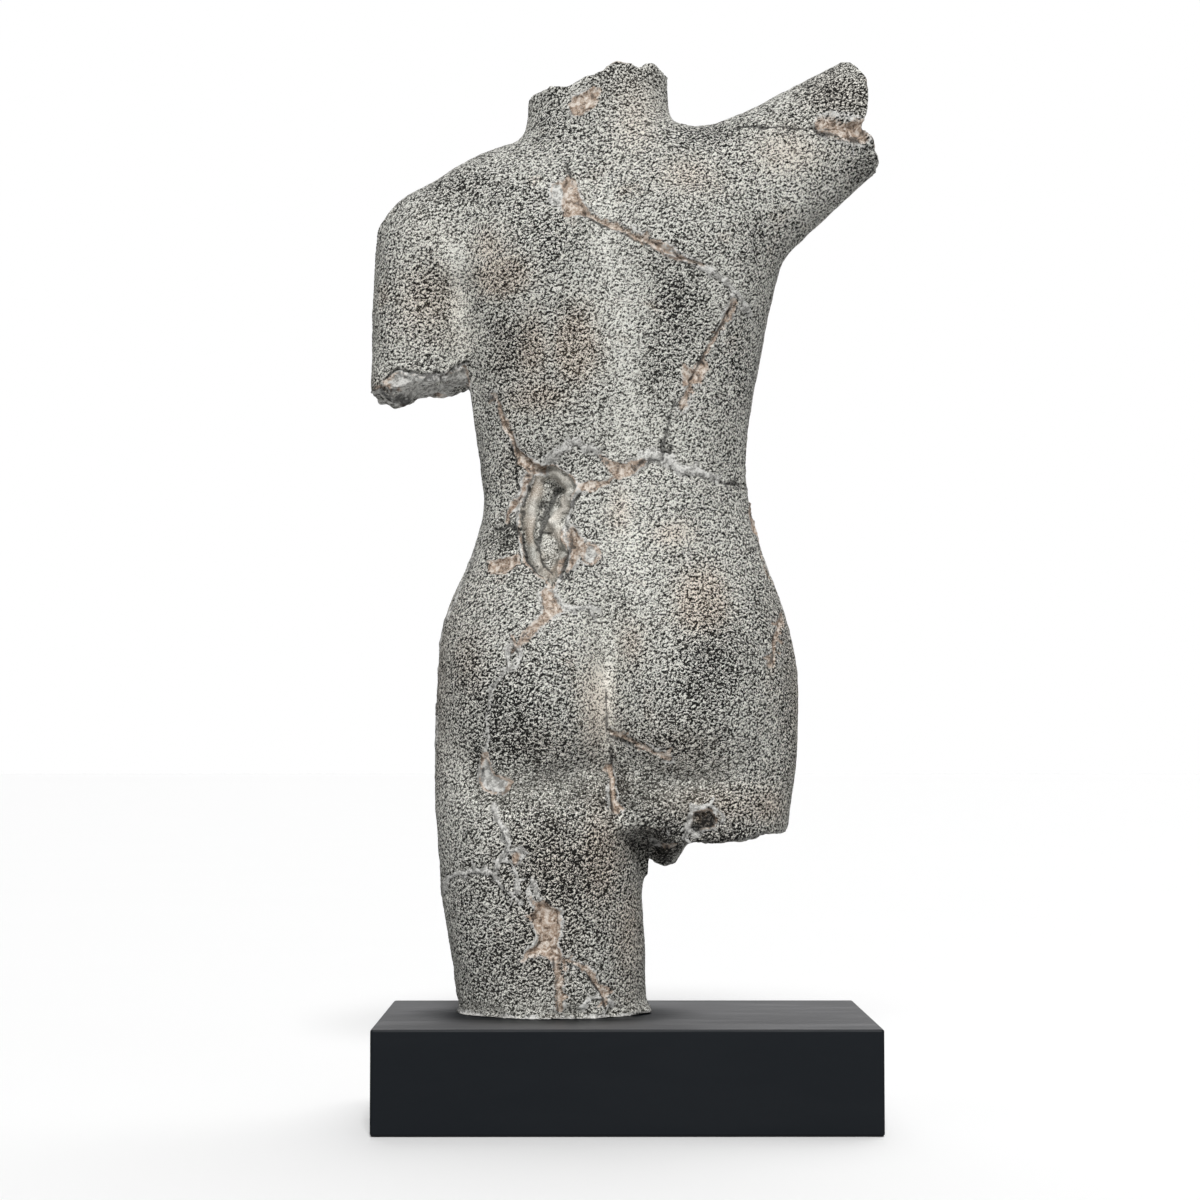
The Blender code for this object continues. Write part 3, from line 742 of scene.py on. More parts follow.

# Patches on the back, mostly stains and a few of painted light and shade: place and reach in pixels, then tone,
# brownness and smoothness
BACK_STAINS_AND_LIGHT = {
    "left shoulder, top": (448, 178, 44, 16, -0.6),
    "left shoulder": (430, 235, 34, 24, 0.15, 0.1),
    # Painted shade: darkens the figure's outer edge, where its form turns away from the light
    "left shoulder rim, painted shade": (384, 290, 10, 70, -0.35),
    "left arm": (425, 300, 34, 40, -0.2, 0.4),
    "left arm, inner": (444, 276, 12, 16, 0.35),
    "left arm, low": (440, 335, 40, 16, -0.2, 0.2),
    "blade, left": (487, 245, 18, 22, 0.2, 0.45),
    "blade, left, brown": (500, 274, 24, 18, -0.35, 0.9),
    "blade edge": (548, 235, 24, 26, -0.5),
    "blade, left, dark": (505, 350, 16, 36, -0.75, 0.2),
    "blade, low": (575, 345, 22, 34, -0.4, 0.9),
    "blade, lowest": (540, 395, 30, 18, -0.4, 0.55),
    "middle back": (532, 345, 18, 34, -0.15, 0.6),
    "left flank": (492, 400, 10, 40, -0.2),
    "left waist": (512, 466, 18, 28, -0.55, 0.1),
    "left of the hollow": (507, 540, 20, 22, -0.7, 0.0, 0.7),
    "hollow": (548, 525, 16, 46, 0.2, 0.0, 0.9),
    "hollow, low": (553, 556, 9, 15, -0.15, 0.1, 1.0),
    "left arm tip": (386, 394, 14, 14, -0.9, 0.5),
    "right blade": (676, 300, 24, 40, -0.7),
    "beside the spine": (642, 290, 18, 60, 0.25),
    "right armpit, low": (728, 272, 22, 20, 0.25),
    "right blade, low": (660, 372, 16, 30, -0.45),
    "right flank": (738, 362, 14, 44, -0.4),
    "right armpit": (755, 245, 16, 30, -0.25),
    "shoulder top": (706, 126, 28, 14, -0.9),
    "shoulder, brown": (688, 170, 30, 18, 0.05, 0.4),
    "nape": (545, 172, 24, 18, 0.15),
    "nape, right": (592, 165, 16, 20, -0.3),
    "neck": (636, 112, 22, 34, 0.3, 0.35),
    "neck, left": (545, 112, 16, 26, -0.5),
    "neck, top": (650, 75, 16, 12, -0.3),
    "raised arm": (790, 146, 36, 22, 0.35, 0.4),
    "raised arm, top": (838, 90, 34, 26, -0.9, 0.2),
    "raised arm, end": (864, 160, 18, 22, -0.5),
    "below the armpit": (762, 228, 14, 16, -0.45),
    # Painted light: lightens the raised arm's shaded underside
    "raised arm, under, painted light": (802, 192, 40, 20, 0.25),
    "lower back": (670, 470, 50, 60, 0.1),
    "above the waist": (665, 425, 28, 16, 0.2),
    "lower back, left": (585, 570, 30, 36, -0.15),
    "loins": (620, 610, 20, 34, -0.3),
    "thighs": (560, 880, 110, 120, -0.4),
    "right thigh": (725, 806, 60, 18, -0.35, 0.35),
    "buttocks": (620, 710, 170, 70, -0.2),
    "waist, pink": (620, 510, 12, 22, -0.1, 0.4),
    "loin": (672, 533, 18, 12, 0.3, 0.5),
    "right hip, brown": (703, 600, 22, 28, -0.05, 1.0),
    "right hip": (762, 618, 24, 44, -0.35),
    "left hip": (560, 615, 38, 26, 0.15),
    "left hip, dark": (468, 660, 18, 34, -0.55, 0.3),
    "sacrum": (632, 643, 14, 22, 0.0, 0.4),
    # Painted light: lightens the cleft's left side, where it falls in shade
    "cleft": (596, 710, 18, 48, 0.75, 0.5),
    "left buttock": (505, 712, 34, 40, -1.1),
    "left buttock, low": (545, 742, 40, 18, -0.25, 0.15),
    "right buttock": (708, 669, 26, 40, -1.15),
    "right buttock, low": (680, 745, 44, 24, -0.3, 0.2),
    # Painted shade: darkens the figure's outer edge, where its form turns away from the light
    "right hip rim, painted shade": (788, 720, 8, 70, -0.4),
    "right thigh, brown": (768, 806, 18, 18, 0.0, 0.5),
    "right thigh, low": (715, 835, 48, 11, -1.3, 0.15),
    "crotch": (620, 786, 14, 20, -0.55, 0.15),
    "below the cleft": (612, 815, 16, 36, -0.02, 0.1, 0.35),
    "left thigh": (560, 865, 46, 44, -0.65, 0.3),
    "left thigh, rim": (446, 765, 10, 26, 0.25),
    "left leg, middle": (550, 920, 34, 60, -0.35, 0.25),
    "below the left fold": (486, 795, 30, 20, -0.3),
    "left thigh, inner": (600, 855, 22, 50, 0.05, 0.6),
    "left leg": (466, 910, 12, 70, -0.35),
    "left leg, inner": (630, 930, 14, 50, 0.05, 0.4),
    "left leg, low": (490, 985, 34, 18, -0.4),
    "thigh chip": (704, 819, 9, 7, -0.3, 0.9),
    # Painted shadow: darkens the thigh's broken remnant below the crotch, which lies in shade
    "remnant, painted shadow": (664, 848, 26, 22, -0.85, 0.1, 0.7),
}

STAINS_AND_LIGHT = {
    name: StainAndLight((x, y), (across, down), *shades) for name, (x, y, across, down, *shades) in BACK_STAINS_AND_LIGHT.items()
} | {
    "breasts": StainAndLight((-10, 470), (60, 30), -0.35, 0.2, side=FRONT),
    "belly, front": StainAndLight((-5, 300), (46, 50), 0.25, 0.3, 0.2, side=FRONT),
    "loins, front": StainAndLight((-5, 235), (30, 26), -0.3, 0.4, side=FRONT),
    "ribs, left": StainAndLight((-66, 380), (24, 40), -0.35, side=FRONT),
    "ribs, right": StainAndLight((60, 360), (24, 40), -0.3, 0.3, side=FRONT),
    "leg, front": StainAndLight((-50, 120), (36, 46), -0.2, 0.3, side=FRONT),
    "thigh, front": StainAndLight((52, 200), (30, 40), 0.15, 0.3, side=FRONT),
    "hip, left": StainAndLight((10, 250), (26, 46), -0.3, 0.3, side=LEFT),
    "hip, right": StainAndLight((14, 240), (26, 46), -0.25, 0.3, side=RIGHT),
}

BANDS = {
    "spine": Band(((598, 190), (616, 290), (626, 400), (628, 450), (622, 530), (606, 650)), 15.0, 0.24, 0.35),
    "armpit": Band(((452, 248), (458, 300), (458, 352)), 7.0, 0.4, 0.5),
    "left fold": Band(((490, 790), (550, 786), (602, 784)), 16.0, 0.06, 0.85),
    "right fold": Band(((612, 786), (660, 790), (712, 786)), 17.0, 0.04, 0.8),
    "sacrum": Band(((560, 610), (590, 640), (606, 668)), 10.0, 0.0, 0.15),
    "cleft": Band(((606, 660), (608, 745)), 4.5, 0.35, 0.5),
    "hollow, right": Band(((585, 490), (590, 540), (580, 590)), 8.0, 0.1, 0.1),
    # Painted highlight: the crests of the ridges round the hollow are lightened
    "hollow, left crest, painted highlight": Band(((540, 568), (533, 545), (531, 524), (533, 498), (539, 480)), 2.2, 0.12, 0.0),
    "hollow, right crest, painted highlight": Band(
        ((566, 482), (572, 489), (563, 506), (555, 521), (561, 538), (562, 552)), 2.0, 0.12, 0.0
    ),
    "foot": Band(((458, 1000), (560, 1008), (648, 1002)), 9.0, 0.05, 0.55),
    "breastbone": Band(((-8, 520), (-8, 420), (-6, 330)), 12.0, 0.35, 0.3, FRONT),
    "groin, left": Band(((-84, 270), (-58, 240), (-26, 204), (-12, 186)), 8.0, 0.3, 0.35, FRONT),
    "groin, right": Band(((76, 268), (50, 238), (20, 204), (4, 186)), 8.0, 0.3, 0.35, FRONT),
}

BREAKS = {
    "neck": Break((-90, -40, 586), (30, 70, 640), (0, 0, 1), 1.4, 0.45),
    "left arm": Break((-170, -60, 395), (-86, 70, 435), (0, 0, -1), 2.2, -0.2, 1.0),
    "raised arm": Break((118, -50, 535), (170, 60, 625), (0.96, 0, 0.27), 1.3, 0.55),
    "right thigh": Break((4, -40, 130), (110, 90, 178), (0, 0, -1), 1.3, 0.0),
}


@dataclass
class Graph:
    """Places and joins the nodes of one tree."""

    tree: bpy.types.NodeTree

    def feed(self, socket: Socket, value: object) -> None:
        """Joins a socket to another one, or sets its value."""
        if isinstance(value, Socket):
            self.tree.links.new(value, socket)
        else:
            socket.default_value = value

    def dress(self, sockets: bpy.types.NodeInputs, values: dict[str | int, object]) -> None:
        """Joins or sets several sockets, by name or number."""
        for name, value in values.items():
            self.feed(sockets[name], value)

    def add(self, kind: str, inputs: dict[str | int, object] | None = None, **settings: object) -> bpy.types.Node:
        """Places a node.

        Args:
            kind: The node's type.
            inputs: What goes into its sockets, by name or number.
            settings: Its other properties.

        Returns:
            The node.
        """
        node = self.tree.nodes.new(kind)
        for name, value in settings.items():
            setattr(node, name, value)
        self.dress(node.inputs, inputs or {})
        return node

    def math(self, operation: str, *values: object, clamp: bool = False) -> Socket:
        """The result of a sum on sockets or numbers."""
        return self.add("ShaderNodeMath", dict(enumerate(values)), operation=operation, use_clamp=clamp).outputs[0]

    def times(self, first: object, second: object, clamp: bool = False) -> Socket:
        """The product of two values."""
        return self.math("MULTIPLY", first, second, clamp=clamp)

    def scaled(self, value: object, by: object, plus: object, clamp: bool = False) -> Socket:
        """A value times a second one, plus a third."""
        return self.math("MULTIPLY_ADD", value, by, plus, clamp=clamp)

    def vector(self, operation: str, *values: object) -> bpy.types.NodeOutputs:
        """The results of a sum on vectors."""
        return self.add("ShaderNodeVectorMath", dict(enumerate(values)), operation=operation).outputs

    def step(self, value: object, low: object, high: object) -> Socket:
        """A soft step from 0 at low to 1 at high."""
        inputs = {"Value": value, "From Min": low, "From Max": high}
        return self.add("ShaderNodeMapRange", inputs, interpolation_type="SMOOTHSTEP").outputs[0]

    def line(self, value: object, level: float, width: float) -> Socket:
        """A soft line where a value crosses a level."""
        return self.step(self.math("ABSOLUTE", self.math("SUBTRACT", value, level)), width, 0.0)

    def blend(self, share: object, first: object, second: object) -> Socket:
        """A colour between two."""
        inputs = {0: share, 6: opaque(first), 7: opaque(second)}
        return self.add("ShaderNodeMix", inputs, data_type="RGBA", clamp_factor=True).outputs[2]

    def noise(self, vector: object, scale: object, detail: float = 2.0, twist: float = 0.0) -> bpy.types.NodeOutputs:
        """The results of a noise texture."""
        inputs = {"Vector": vector, "Scale": scale, "Detail": detail, "Distortion": twist}
        return self.add("ShaderNodeTexNoise", inputs).outputs

    def group(self, tree: bpy.types.NodeTree, **inputs: object) -> Socket:
        """The result of a shared group."""
        return self.add("ShaderNodeGroup", inputs, node_tree=tree).outputs[0]

    def place(self) -> Socket:
        """The piece's own coordinates."""
        return self.add("ShaderNodeTexCoord").outputs["Object"]

    def seen(self) -> Socket:
        """1 where the camera looks at the surface itself, and 0 where light bounces off it."""
        return self.add("ShaderNodeLightPath").outputs["Is Camera Ray"]

    def kept(self, name: str) -> Socket:
        """A value that the skin's points carry."""
        return self.add("ShaderNodeAttribute", attribute_name=name).outputs["Fac"]

    def bump(self, height: object, distance: float, strength: float) -> Socket:
        """The normal of a surface that is raised by a height."""
        inputs = {"Height": height, "Distance": distance, "Strength": strength}
        return self.add("ShaderNodeBump", inputs).outputs["Normal"]


def opaque(colour: object) -> object:
    """A colour with full alpha, or the socket that was given."""
    return (*colour, 1.0) if isinstance(colour, tuple) and len(colour) == 3 else colour


def open_material(name: str) -> tuple[bpy.types.Material, Graph, bpy.types.NodeInputs]:
    """A new material, its graph, and the inputs of its shader."""
    material = bpy.data.materials.new(name)
    material.use_nodes = True
    return material, Graph(material.node_tree), material.node_tree.nodes["Principled BSDF"].inputs


def open_group(name: str, inputs: dict[str, float | None], output: str) -> tuple[Graph, bpy.types.NodeOutputs, Socket]:
    """Opens a shader node group that materials share.

    Args:
        name: The group's name.
        inputs: What each of its inputs starts at, or None for a vector.
        output: The name of its result.

    Returns:
        The graph to place nodes in, the group's inputs, and the socket that its result goes into.
    """
    tree = bpy.data.node_groups.new(name, "ShaderNodeTree")
    for label, value in inputs.items():
        kind = "NodeSocketVector" if value is None else "NodeSocketFloat"
        socket = tree.interface.new_socket(label, in_out="INPUT", socket_type=kind)
        if value is not None:
            socket.default_value = value
    tree.interface.new_socket(output, in_out="OUTPUT", socket_type="NodeSocketFloat")
    graph = Graph(tree)
    return graph, graph.add("NodeGroupInput").outputs, graph.add("NodeGroupOutput").inputs[output]


@dataclass(frozen=True)
class StuccoGrain:
    """Short raised worms and grains over recesses, with a painted highlight on their upper edges and painted shade on
    their lower ones, as light from above would give.

    Each scale is a share of the group's own, and each pattern has the share that it adds to the grain.
    """

    sway_scale: float = 0.45
    sway: float = 0.0014
    # How far above each point the grain is sampled again, for the painted highlight and shade on its edges
    upwards: Triple = (-0.00022, 0.0, 0.00054)
    gap_scale: float = 1.55
    dot_scale: float = 2.6
    pebble_scale: float = 0.42
    worm_level: float = 0.54
    worm_width: float = 0.05
    gap_level: float = 0.5
    gap_width: float = 0.06
    pebble_rim: Place = (0.34, 0.2)
    base: float = -0.47
    broad: float = 0.85
    worm: float = 0.36
    pebble: float = 0.22
    painted_light: float = 0.95
    gap: float = -0.32
    dot: float = 1.1
    calm_base: float = 0.3
    calm_dot: float = 0.4
    calming: float = 0.8

    def build(self) -> bpy.types.NodeTree:
        """Makes the group.

        Returns:
            The group, whose Grain runs from 0 in a recess to 1 on a crest.
        """
        graph, given, result = open_group("stucco grain", {"Vector": None, "Scale": 300.0, "Calm": 0.0}, "Grain")
        still, scale = given["Vector"], given["Scale"]
        sway = graph.noise(still, graph.times(scale, self.sway_scale), detail=1.0)["Color"]
        place = graph.vector("MULTIPLY_ADD", sway, (self.sway,) * 3, still)[0]
        above = graph.vector("ADD", place, self.upwards)[0]
        broad, over = (graph.noise(where, scale, detail=1.5)[0] for where in (place, above))
        fine = graph.noise(place, graph.times(scale, self.gap_scale), detail=1.0)[0]
        dots = graph.noise(still, graph.times(scale, self.dot_scale), detail=1.0)[0]
        cells = graph.add("ShaderNodeTexVoronoi", {"Vector": place, "Scale": graph.times(scale, self.pebble_scale)})
        worm = graph.line(broad, self.worm_level, self.worm_width)
        gap = graph.line(fine, self.gap_level, self.gap_width)
        pebble = graph.step(cells.outputs["Distance"], *self.pebble_rim)
        # Painted light: the grain here less the grain just above, lighter on upper edges and darker on lower ones
        painted_light = graph.math("SUBTRACT", broad, over)
        body = graph.scaled(broad, self.broad, graph.scaled(worm, self.worm, self.base))
        for pattern, share in ((pebble, self.pebble), (painted_light, self.painted_light), (gap, self.gap), (dots, self.dot)):
            body = graph.scaled(pattern, share, body)
        flat = graph.scaled(dots, self.calm_dot, self.calm_base)
        calm = graph.times(given["Calm"], self.calming)
        eased = graph.add("ShaderNodeMix", {0: calm, 2: body, 3: flat}, data_type="FLOAT").outputs[0]
        graph.feed(result, eased)
        return graph.tree


@dataclass(frozen=True)
class RaggedEdge:
    """A crisp, ragged mask out of a soft edge value, which is 0 on the edge and more inside it."""

    outer: float = -0.12
    inner: float = 0.3

    def build(self) -> bpy.types.NodeTree:
        """Makes the group, whose Mask is 1 inside the edge."""
        inputs = {"Edge": 0.0, "Vector": None, "Scale": 500.0, "Ragged": 1.0}
        graph, given, result = open_group("ragged edge", inputs, "Mask")
        rough = graph.noise(given["Vector"], given["Scale"], detail=3.0)[0]
        off = graph.times(graph.math("SUBTRACT", rough, 0.5), given["Ragged"])
        graph.feed(result, graph.step(graph.math("ADD", given["Edge"], off), self.outer, self.inner))
        return graph.tree


@dataclass(frozen=True)
class Patches:
    """Cloudy patches, for stains, worn places, and the dust and painted sheen on the plinth's top."""

    rarest: float = 0.78
    widening: float = -0.45
    softness: float = 0.2

    def build(self) -> bpy.types.NodeTree:
        """Makes the group, whose Mask is 1 in the middle of a patch."""
        graph, given, result = open_group("patches", {"Vector": None, "Scale": 30.0, "Amount": 0.5}, "Mask")
        cloud = graph.noise(given["Vector"], given["Scale"], detail=4.0, twist=0.4)[0]
        start = graph.scaled(given["Amount"], self.widening, self.rarest)
        graph.feed(result, graph.step(cloud, start, graph.math("ADD", start, self.softness)))
        return graph.tree


@dataclass
class Effects:
    """The shader node groups that the finishes share, each made once."""

    grain: bpy.types.NodeTree = field(default_factory=lambda: StuccoGrain().build())
    ragged: bpy.types.NodeTree = field(default_factory=lambda: RaggedEdge().build())
    patches: bpy.types.NodeTree = field(default_factory=lambda: Patches().build())


@dataclass(frozen=True)
class Cloud:
    """How fine a cloud of patches is, how much of the surface it takes, and how strong it is."""

    scale: float
    amount: float
    strength: float

    def mask(self, graph: Graph, effects: Effects, place: Socket) -> Socket:
        """Its mask, which is 1 in the middle of a patch."""
        return graph.group(effects.patches, Vector=place, Scale=self.scale, Amount=self.amount)


@dataclass(frozen=True)
class AgedStone:
    """Pale stucco grain over charcoal, with terracotta and plaster where the skin is marked."""

    stone: Colour = (1.0, 0.975, 0.84)
    chalk: Colour = (1.0, 1.0, 0.96)
    brown: Colour = (1.0, 0.74, 0.49)
    brightness: float = 0.59
    contrast: float = 3.7
    crispness: float = 8.0
    shading: float = 0.63
    fading: float = 0.4
    darkest: float = 0.1
    palest: float = 0.97
    chalk_edge: Place = (0.15, 0.95)
    chalking: float = 0.7
    warming: float = 2.0
    gamma: float = 2.2
    dark_cloud: Cloud = Cloud(26.0, 0.5, -0.4)
    light_cloud: Cloud = Cloud(17.0, 0.45, 0.35)
    brown_cloud: Cloud = Cloud(41.0, 0.4, 0.35)
    plaster: Colour = (0.66, 0.655, 0.63)
    plaster_shade: Colour = (0.28, 0.277, 0.262)
    terracotta: Colour = (0.36, 0.268, 0.20)
    terracotta_pale: Colour = (0.68, 0.61, 0.54)
    terracotta_shade: Colour = (0.12, 0.085, 0.062)
    # Near black, painted as shade in cracks, in cavities and beside seams
    painted_shade: Colour = (0.016, 0.016, 0.016)
    fill_cover: float = 0.85
    painted_shade_cover: float = 0.8
    grain_scale: float = 680.0
    ragged_scale: float = 520.0
    raggedness: float = 1.6
    grain_rise: float = 1.2
    streak_scale: float = 300.0
    mottle_grain: float = 0.5
    mottle_streak: Place = (2.4, -0.95)
    plaster_edge: Place = (0.25, 0.75)
    pale_edge: Place = (0.4, 0.9)
    shade_edge: Place = (0.42, 0.1)
    relief: float = 0.0007
    fill_relief: float = -0.65
    roughness: float = 0.92
    polish: float = -0.2
    specular: float = 0.3

    def build(self, effects: Effects) -> bpy.types.Material:
        """Makes the material.

        Args:
            effects: The shared groups.

        Returns:
            The material.
        """
        material, graph, shader = open_material("aged stone")
        place = graph.place()
        grain = graph.group(effects.grain, Vector=place, Scale=self.grain_scale, Calm=graph.kept("calm"))
        colour = self.stucco(graph, effects, place, grain)
        colour, fill = self.marks(graph, effects, place, colour, grain)
        held = graph.times(grain, graph.scaled(fill, self.fill_relief, 1.0))
        finish = {
            "Base Color": colour,
            "Roughness": graph.scaled(grain, self.polish, self.roughness, clamp=True),
            "Specular IOR Level": self.specular,
            "Normal": graph.bump(held, self.relief, 1.0),
        }
        graph.dress(shader, finish)
        return material

    def tone(self, graph: Graph, effects: Effects, place: Socket) -> Socket:
        """How much lighter or darker the patina is at a place, from -1 to 1."""
        dark, light = (cloud.mask(graph, effects, place) for cloud in (self.dark_cloud, self.light_cloud))
        drift = graph.scaled(dark, self.dark_cloud.strength, graph.times(light, self.light_cloud.strength))
        tone = graph.math("ADD", graph.kept("tone"), drift)
        return graph.math("MINIMUM", graph.math("MAXIMUM", tone, -1.0), 1.0)

    def stucco(self, graph: Graph, effects: Effects, place: Socket, grain: Socket) -> Socket:
        """The colour of the grain and its recesses.

        Args:
            graph: Where the nodes go.
            effects: The shared groups.
            place: The coordinates.
            grain: 0 in a recess to 1 on a crest.

        Returns:
            The colour.
        """
        tone = self.tone(graph, effects, place)
        spread = graph.scaled(tone, -self.fading, self.contrast)
        level = graph.scaled(tone, self.shading, self.brightness)
        off = graph.math("SUBTRACT", grain, 0.5)
        bend = graph.scaled(graph.times(off, off), self.crispness, 0.5)
        light = graph.scaled(graph.times(off, bend), spread, level)
        light = graph.math("MINIMUM", graph.math("MAXIMUM", light, self.darkest), self.palest)
        drift = graph.times(self.brown_cloud.mask(graph, effects, place), self.brown_cloud.strength)
        warmth = graph.math("MAXIMUM", drift, graph.kept("warm"))
        hue = graph.blend(graph.times(warmth, self.warming, clamp=True), self.stone, self.brown)
        hue = graph.blend(graph.times(graph.step(light, *self.chalk_edge), self.chalking), hue, self.chalk)
        shade = graph.math("POWER", light, self.gamma)
        tint = graph.add("ShaderNodeCombineXYZ", {0: shade, 1: shade, 2: shade}).outputs[0]
        return graph.vector("MULTIPLY", hue, tint)[0]

    def marks(
        self, graph: Graph, effects: Effects, place: Socket, colour: Socket, grain: Socket
    ) -> tuple[Socket, Socket]:
        """Paints the seams, the chips, and the painted shade in and beside them, over the stucco.

        Args:
            graph: Where the nodes go.
            effects: The shared groups.
            place: The coordinates.
            colour: The stucco's colour.
            grain: 0 in a recess to 1 on a crest.

        Returns:
            The colour, and the share that is plaster or terracotta.
        """
        rise = graph.times(graph.math("SUBTRACT", grain, 0.5), self.grain_rise)
        masks = {}
        for name in ("plaster", "earth", "painted_shade"):
            edge = graph.math("ADD", graph.kept(name), rise)
            masks[name] = graph.group(
                effects.ragged, Edge=edge, Vector=place, Scale=self.ragged_scale, Ragged=self.raggedness
            )
        streak = graph.noise(place, self.streak_scale, detail=4.0, twist=0.6)[0]
        mottle = graph.scaled(grain, self.mottle_grain, graph.scaled(streak, *self.mottle_streak))
        plaster = graph.blend(graph.step(mottle, *self.plaster_edge), self.plaster_shade, self.plaster)
        earth = graph.blend(graph.step(mottle, *self.pale_edge), self.terracotta, self.terracotta_pale)
        earth = graph.blend(graph.step(mottle, *self.shade_edge), earth, self.terracotta_shade)
        for name, paint in {"plaster": plaster, "earth": earth, "painted_shade": self.painted_shade}.items():
            cover = self.painted_shade_cover if name == "painted_shade" else self.fill_cover
            colour = graph.blend(graph.times(masks[name], cover), colour, paint)
        return colour, graph.math("MAXIMUM", masks["plaster"], masks["earth"])


@dataclass(frozen=True)
class BlackLacquer:
    """Matt black lacquer with brush marks, and dust and a painted sheen across its top, which leave a dark ring round
    the foot: wiped lacquer and painted contact shadow.
    """

    black: Colour = (0.0048, 0.0066, 0.0090)
    dust_and_sheen: Colour = (0.15, 0.15, 0.155)
    cloud: Cloud = Cloud(34.0, 0.75, 0.35)
    dust_and_sheen_amount: float = 0.7
    stretch: Triple = (0.25, 1.0, 1.0)
    brush_scale: float = 420.0
    brush_relief: float = 0.0001
    brush_strength: float = 0.35
    roughness: float = 0.36
    brush_roughness: float = 0.12
    cloud_roughness: float = 0.1
    specular: float = 0.16
    facing_up: Place = (0.6, 0.95)
    foot_reach: Place = (0.056, 0.046)
    foot_place: float = -0.042
    # How far from the foot, in its reaches, the dark ring of wiped lacquer and painted contact shadow fades out
    wiped_and_shadowed: Place = (0.95, 1.7)

    def build(self, effects: Effects) -> bpy.types.Material:
        """Makes the material.

        Args:
            effects: The shared groups.

        Returns:
            The material.
        """
        material, graph, shader = open_material("black lacquer")
        place = graph.place()
        along = graph.vector("MULTIPLY", place, self.stretch)[0]
        cloud = self.cloud.mask(graph, effects, along)
        brush = graph.noise(along, self.brush_scale, detail=3.0)[0]
        rough = graph.scaled(brush, self.brush_roughness, self.roughness)
        dust_and_sheen_share = graph.times(self.dust_and_sheen_top(graph, place), graph.scaled(cloud, self.cloud.strength, self.dust_and_sheen_amount))
        finish = {
            "Base Color": graph.blend(dust_and_sheen_share, self.black, self.dust_and_sheen),
            "Roughness": graph.scaled(cloud, self.cloud_roughness, rough),
            "Specular IOR Level": self.specular,
            "Normal": graph.bump(brush, self.brush_relief, self.brush_strength),
        }
        graph.dress(shader, finish)
        return material

    def dust_and_sheen_top(self, graph: Graph, place: Socket) -> Socket:
        """The share of the top that takes dust and a painted sheen, away from the dark ring round the foot, which is
        wiped lacquer and painted contact shadow.
        """
        normal = graph.add("ShaderNodeNewGeometry").outputs["Normal"]
        up = graph.add("ShaderNodeSeparateXYZ", {0: normal}).outputs["Z"]
        across, deep = self.foot_reach
        round_foot = graph.vector(
            "MULTIPLY_ADD", place, (1 / across, 1 / deep, 0), (-self.foot_place / across, 0, 0)
        )[0]
        away = graph.vector("LENGTH", round_foot)["Value"]
        return graph.times(graph.step(up, *self.facing_up), graph.step(away, *self.wiped_and_shadowed))


@dataclass
class Bedding:
    """The mortar that the foot stands in. Heights and distances are in millimetres, the rest are shares."""

    seat: float = 58.2
    top: float = 61.9
    swing: float = 1.4
    edge: float = 2.5
    covered: float = 0.3
    fade: float = 3.0
    bare: float = -0.7
    ragged: float = 0.9
    lobes: float = 0.9
    inner_side: float = 5.0
    spread: float = 1.0
    draw: float = 3.2
    reach: Place = (9.0, 1.0)
    upright: Place = (0.2, 0.6)

    def work(self, canvas: Canvas) -> np.ndarray:
        """Paints the mortar, and moves it outwards on the leg's inner side and inwards elsewhere.

        Args:
            canvas: The skin's points.

        Returns:
            How far each point moves.
        """
        across, height = canvas.points[:, 0], canvas.points[:, 2]
        level = canvas.points * (1, 1, 0)
        depth = self.top + self.swing * Noise.BEDDING_TOP.lumps(level) - height
        paint = depth / self.fade + self.bare + self.ragged * Noise.BEDDING_PAINT.lumps(level)
        canvas.spread("plaster", np.arange(len(level)), paint, smooth(0, self.covered, smooth(0, self.edge, depth)))
        lobes = 1 + self.lobes * Noise.BEDDING_LOBES.rubble(level)
        drawn = np.where(across > self.inner_side, self.spread, -self.draw)
        near = smooth(*self.reach, height - self.seat)
        near *= smooth(*self.upright, np.hypot(*canvas.normals[:, :2].T))
        return canvas.normals * (1, 1, 0) * (near * drawn * lobes)[:, None]


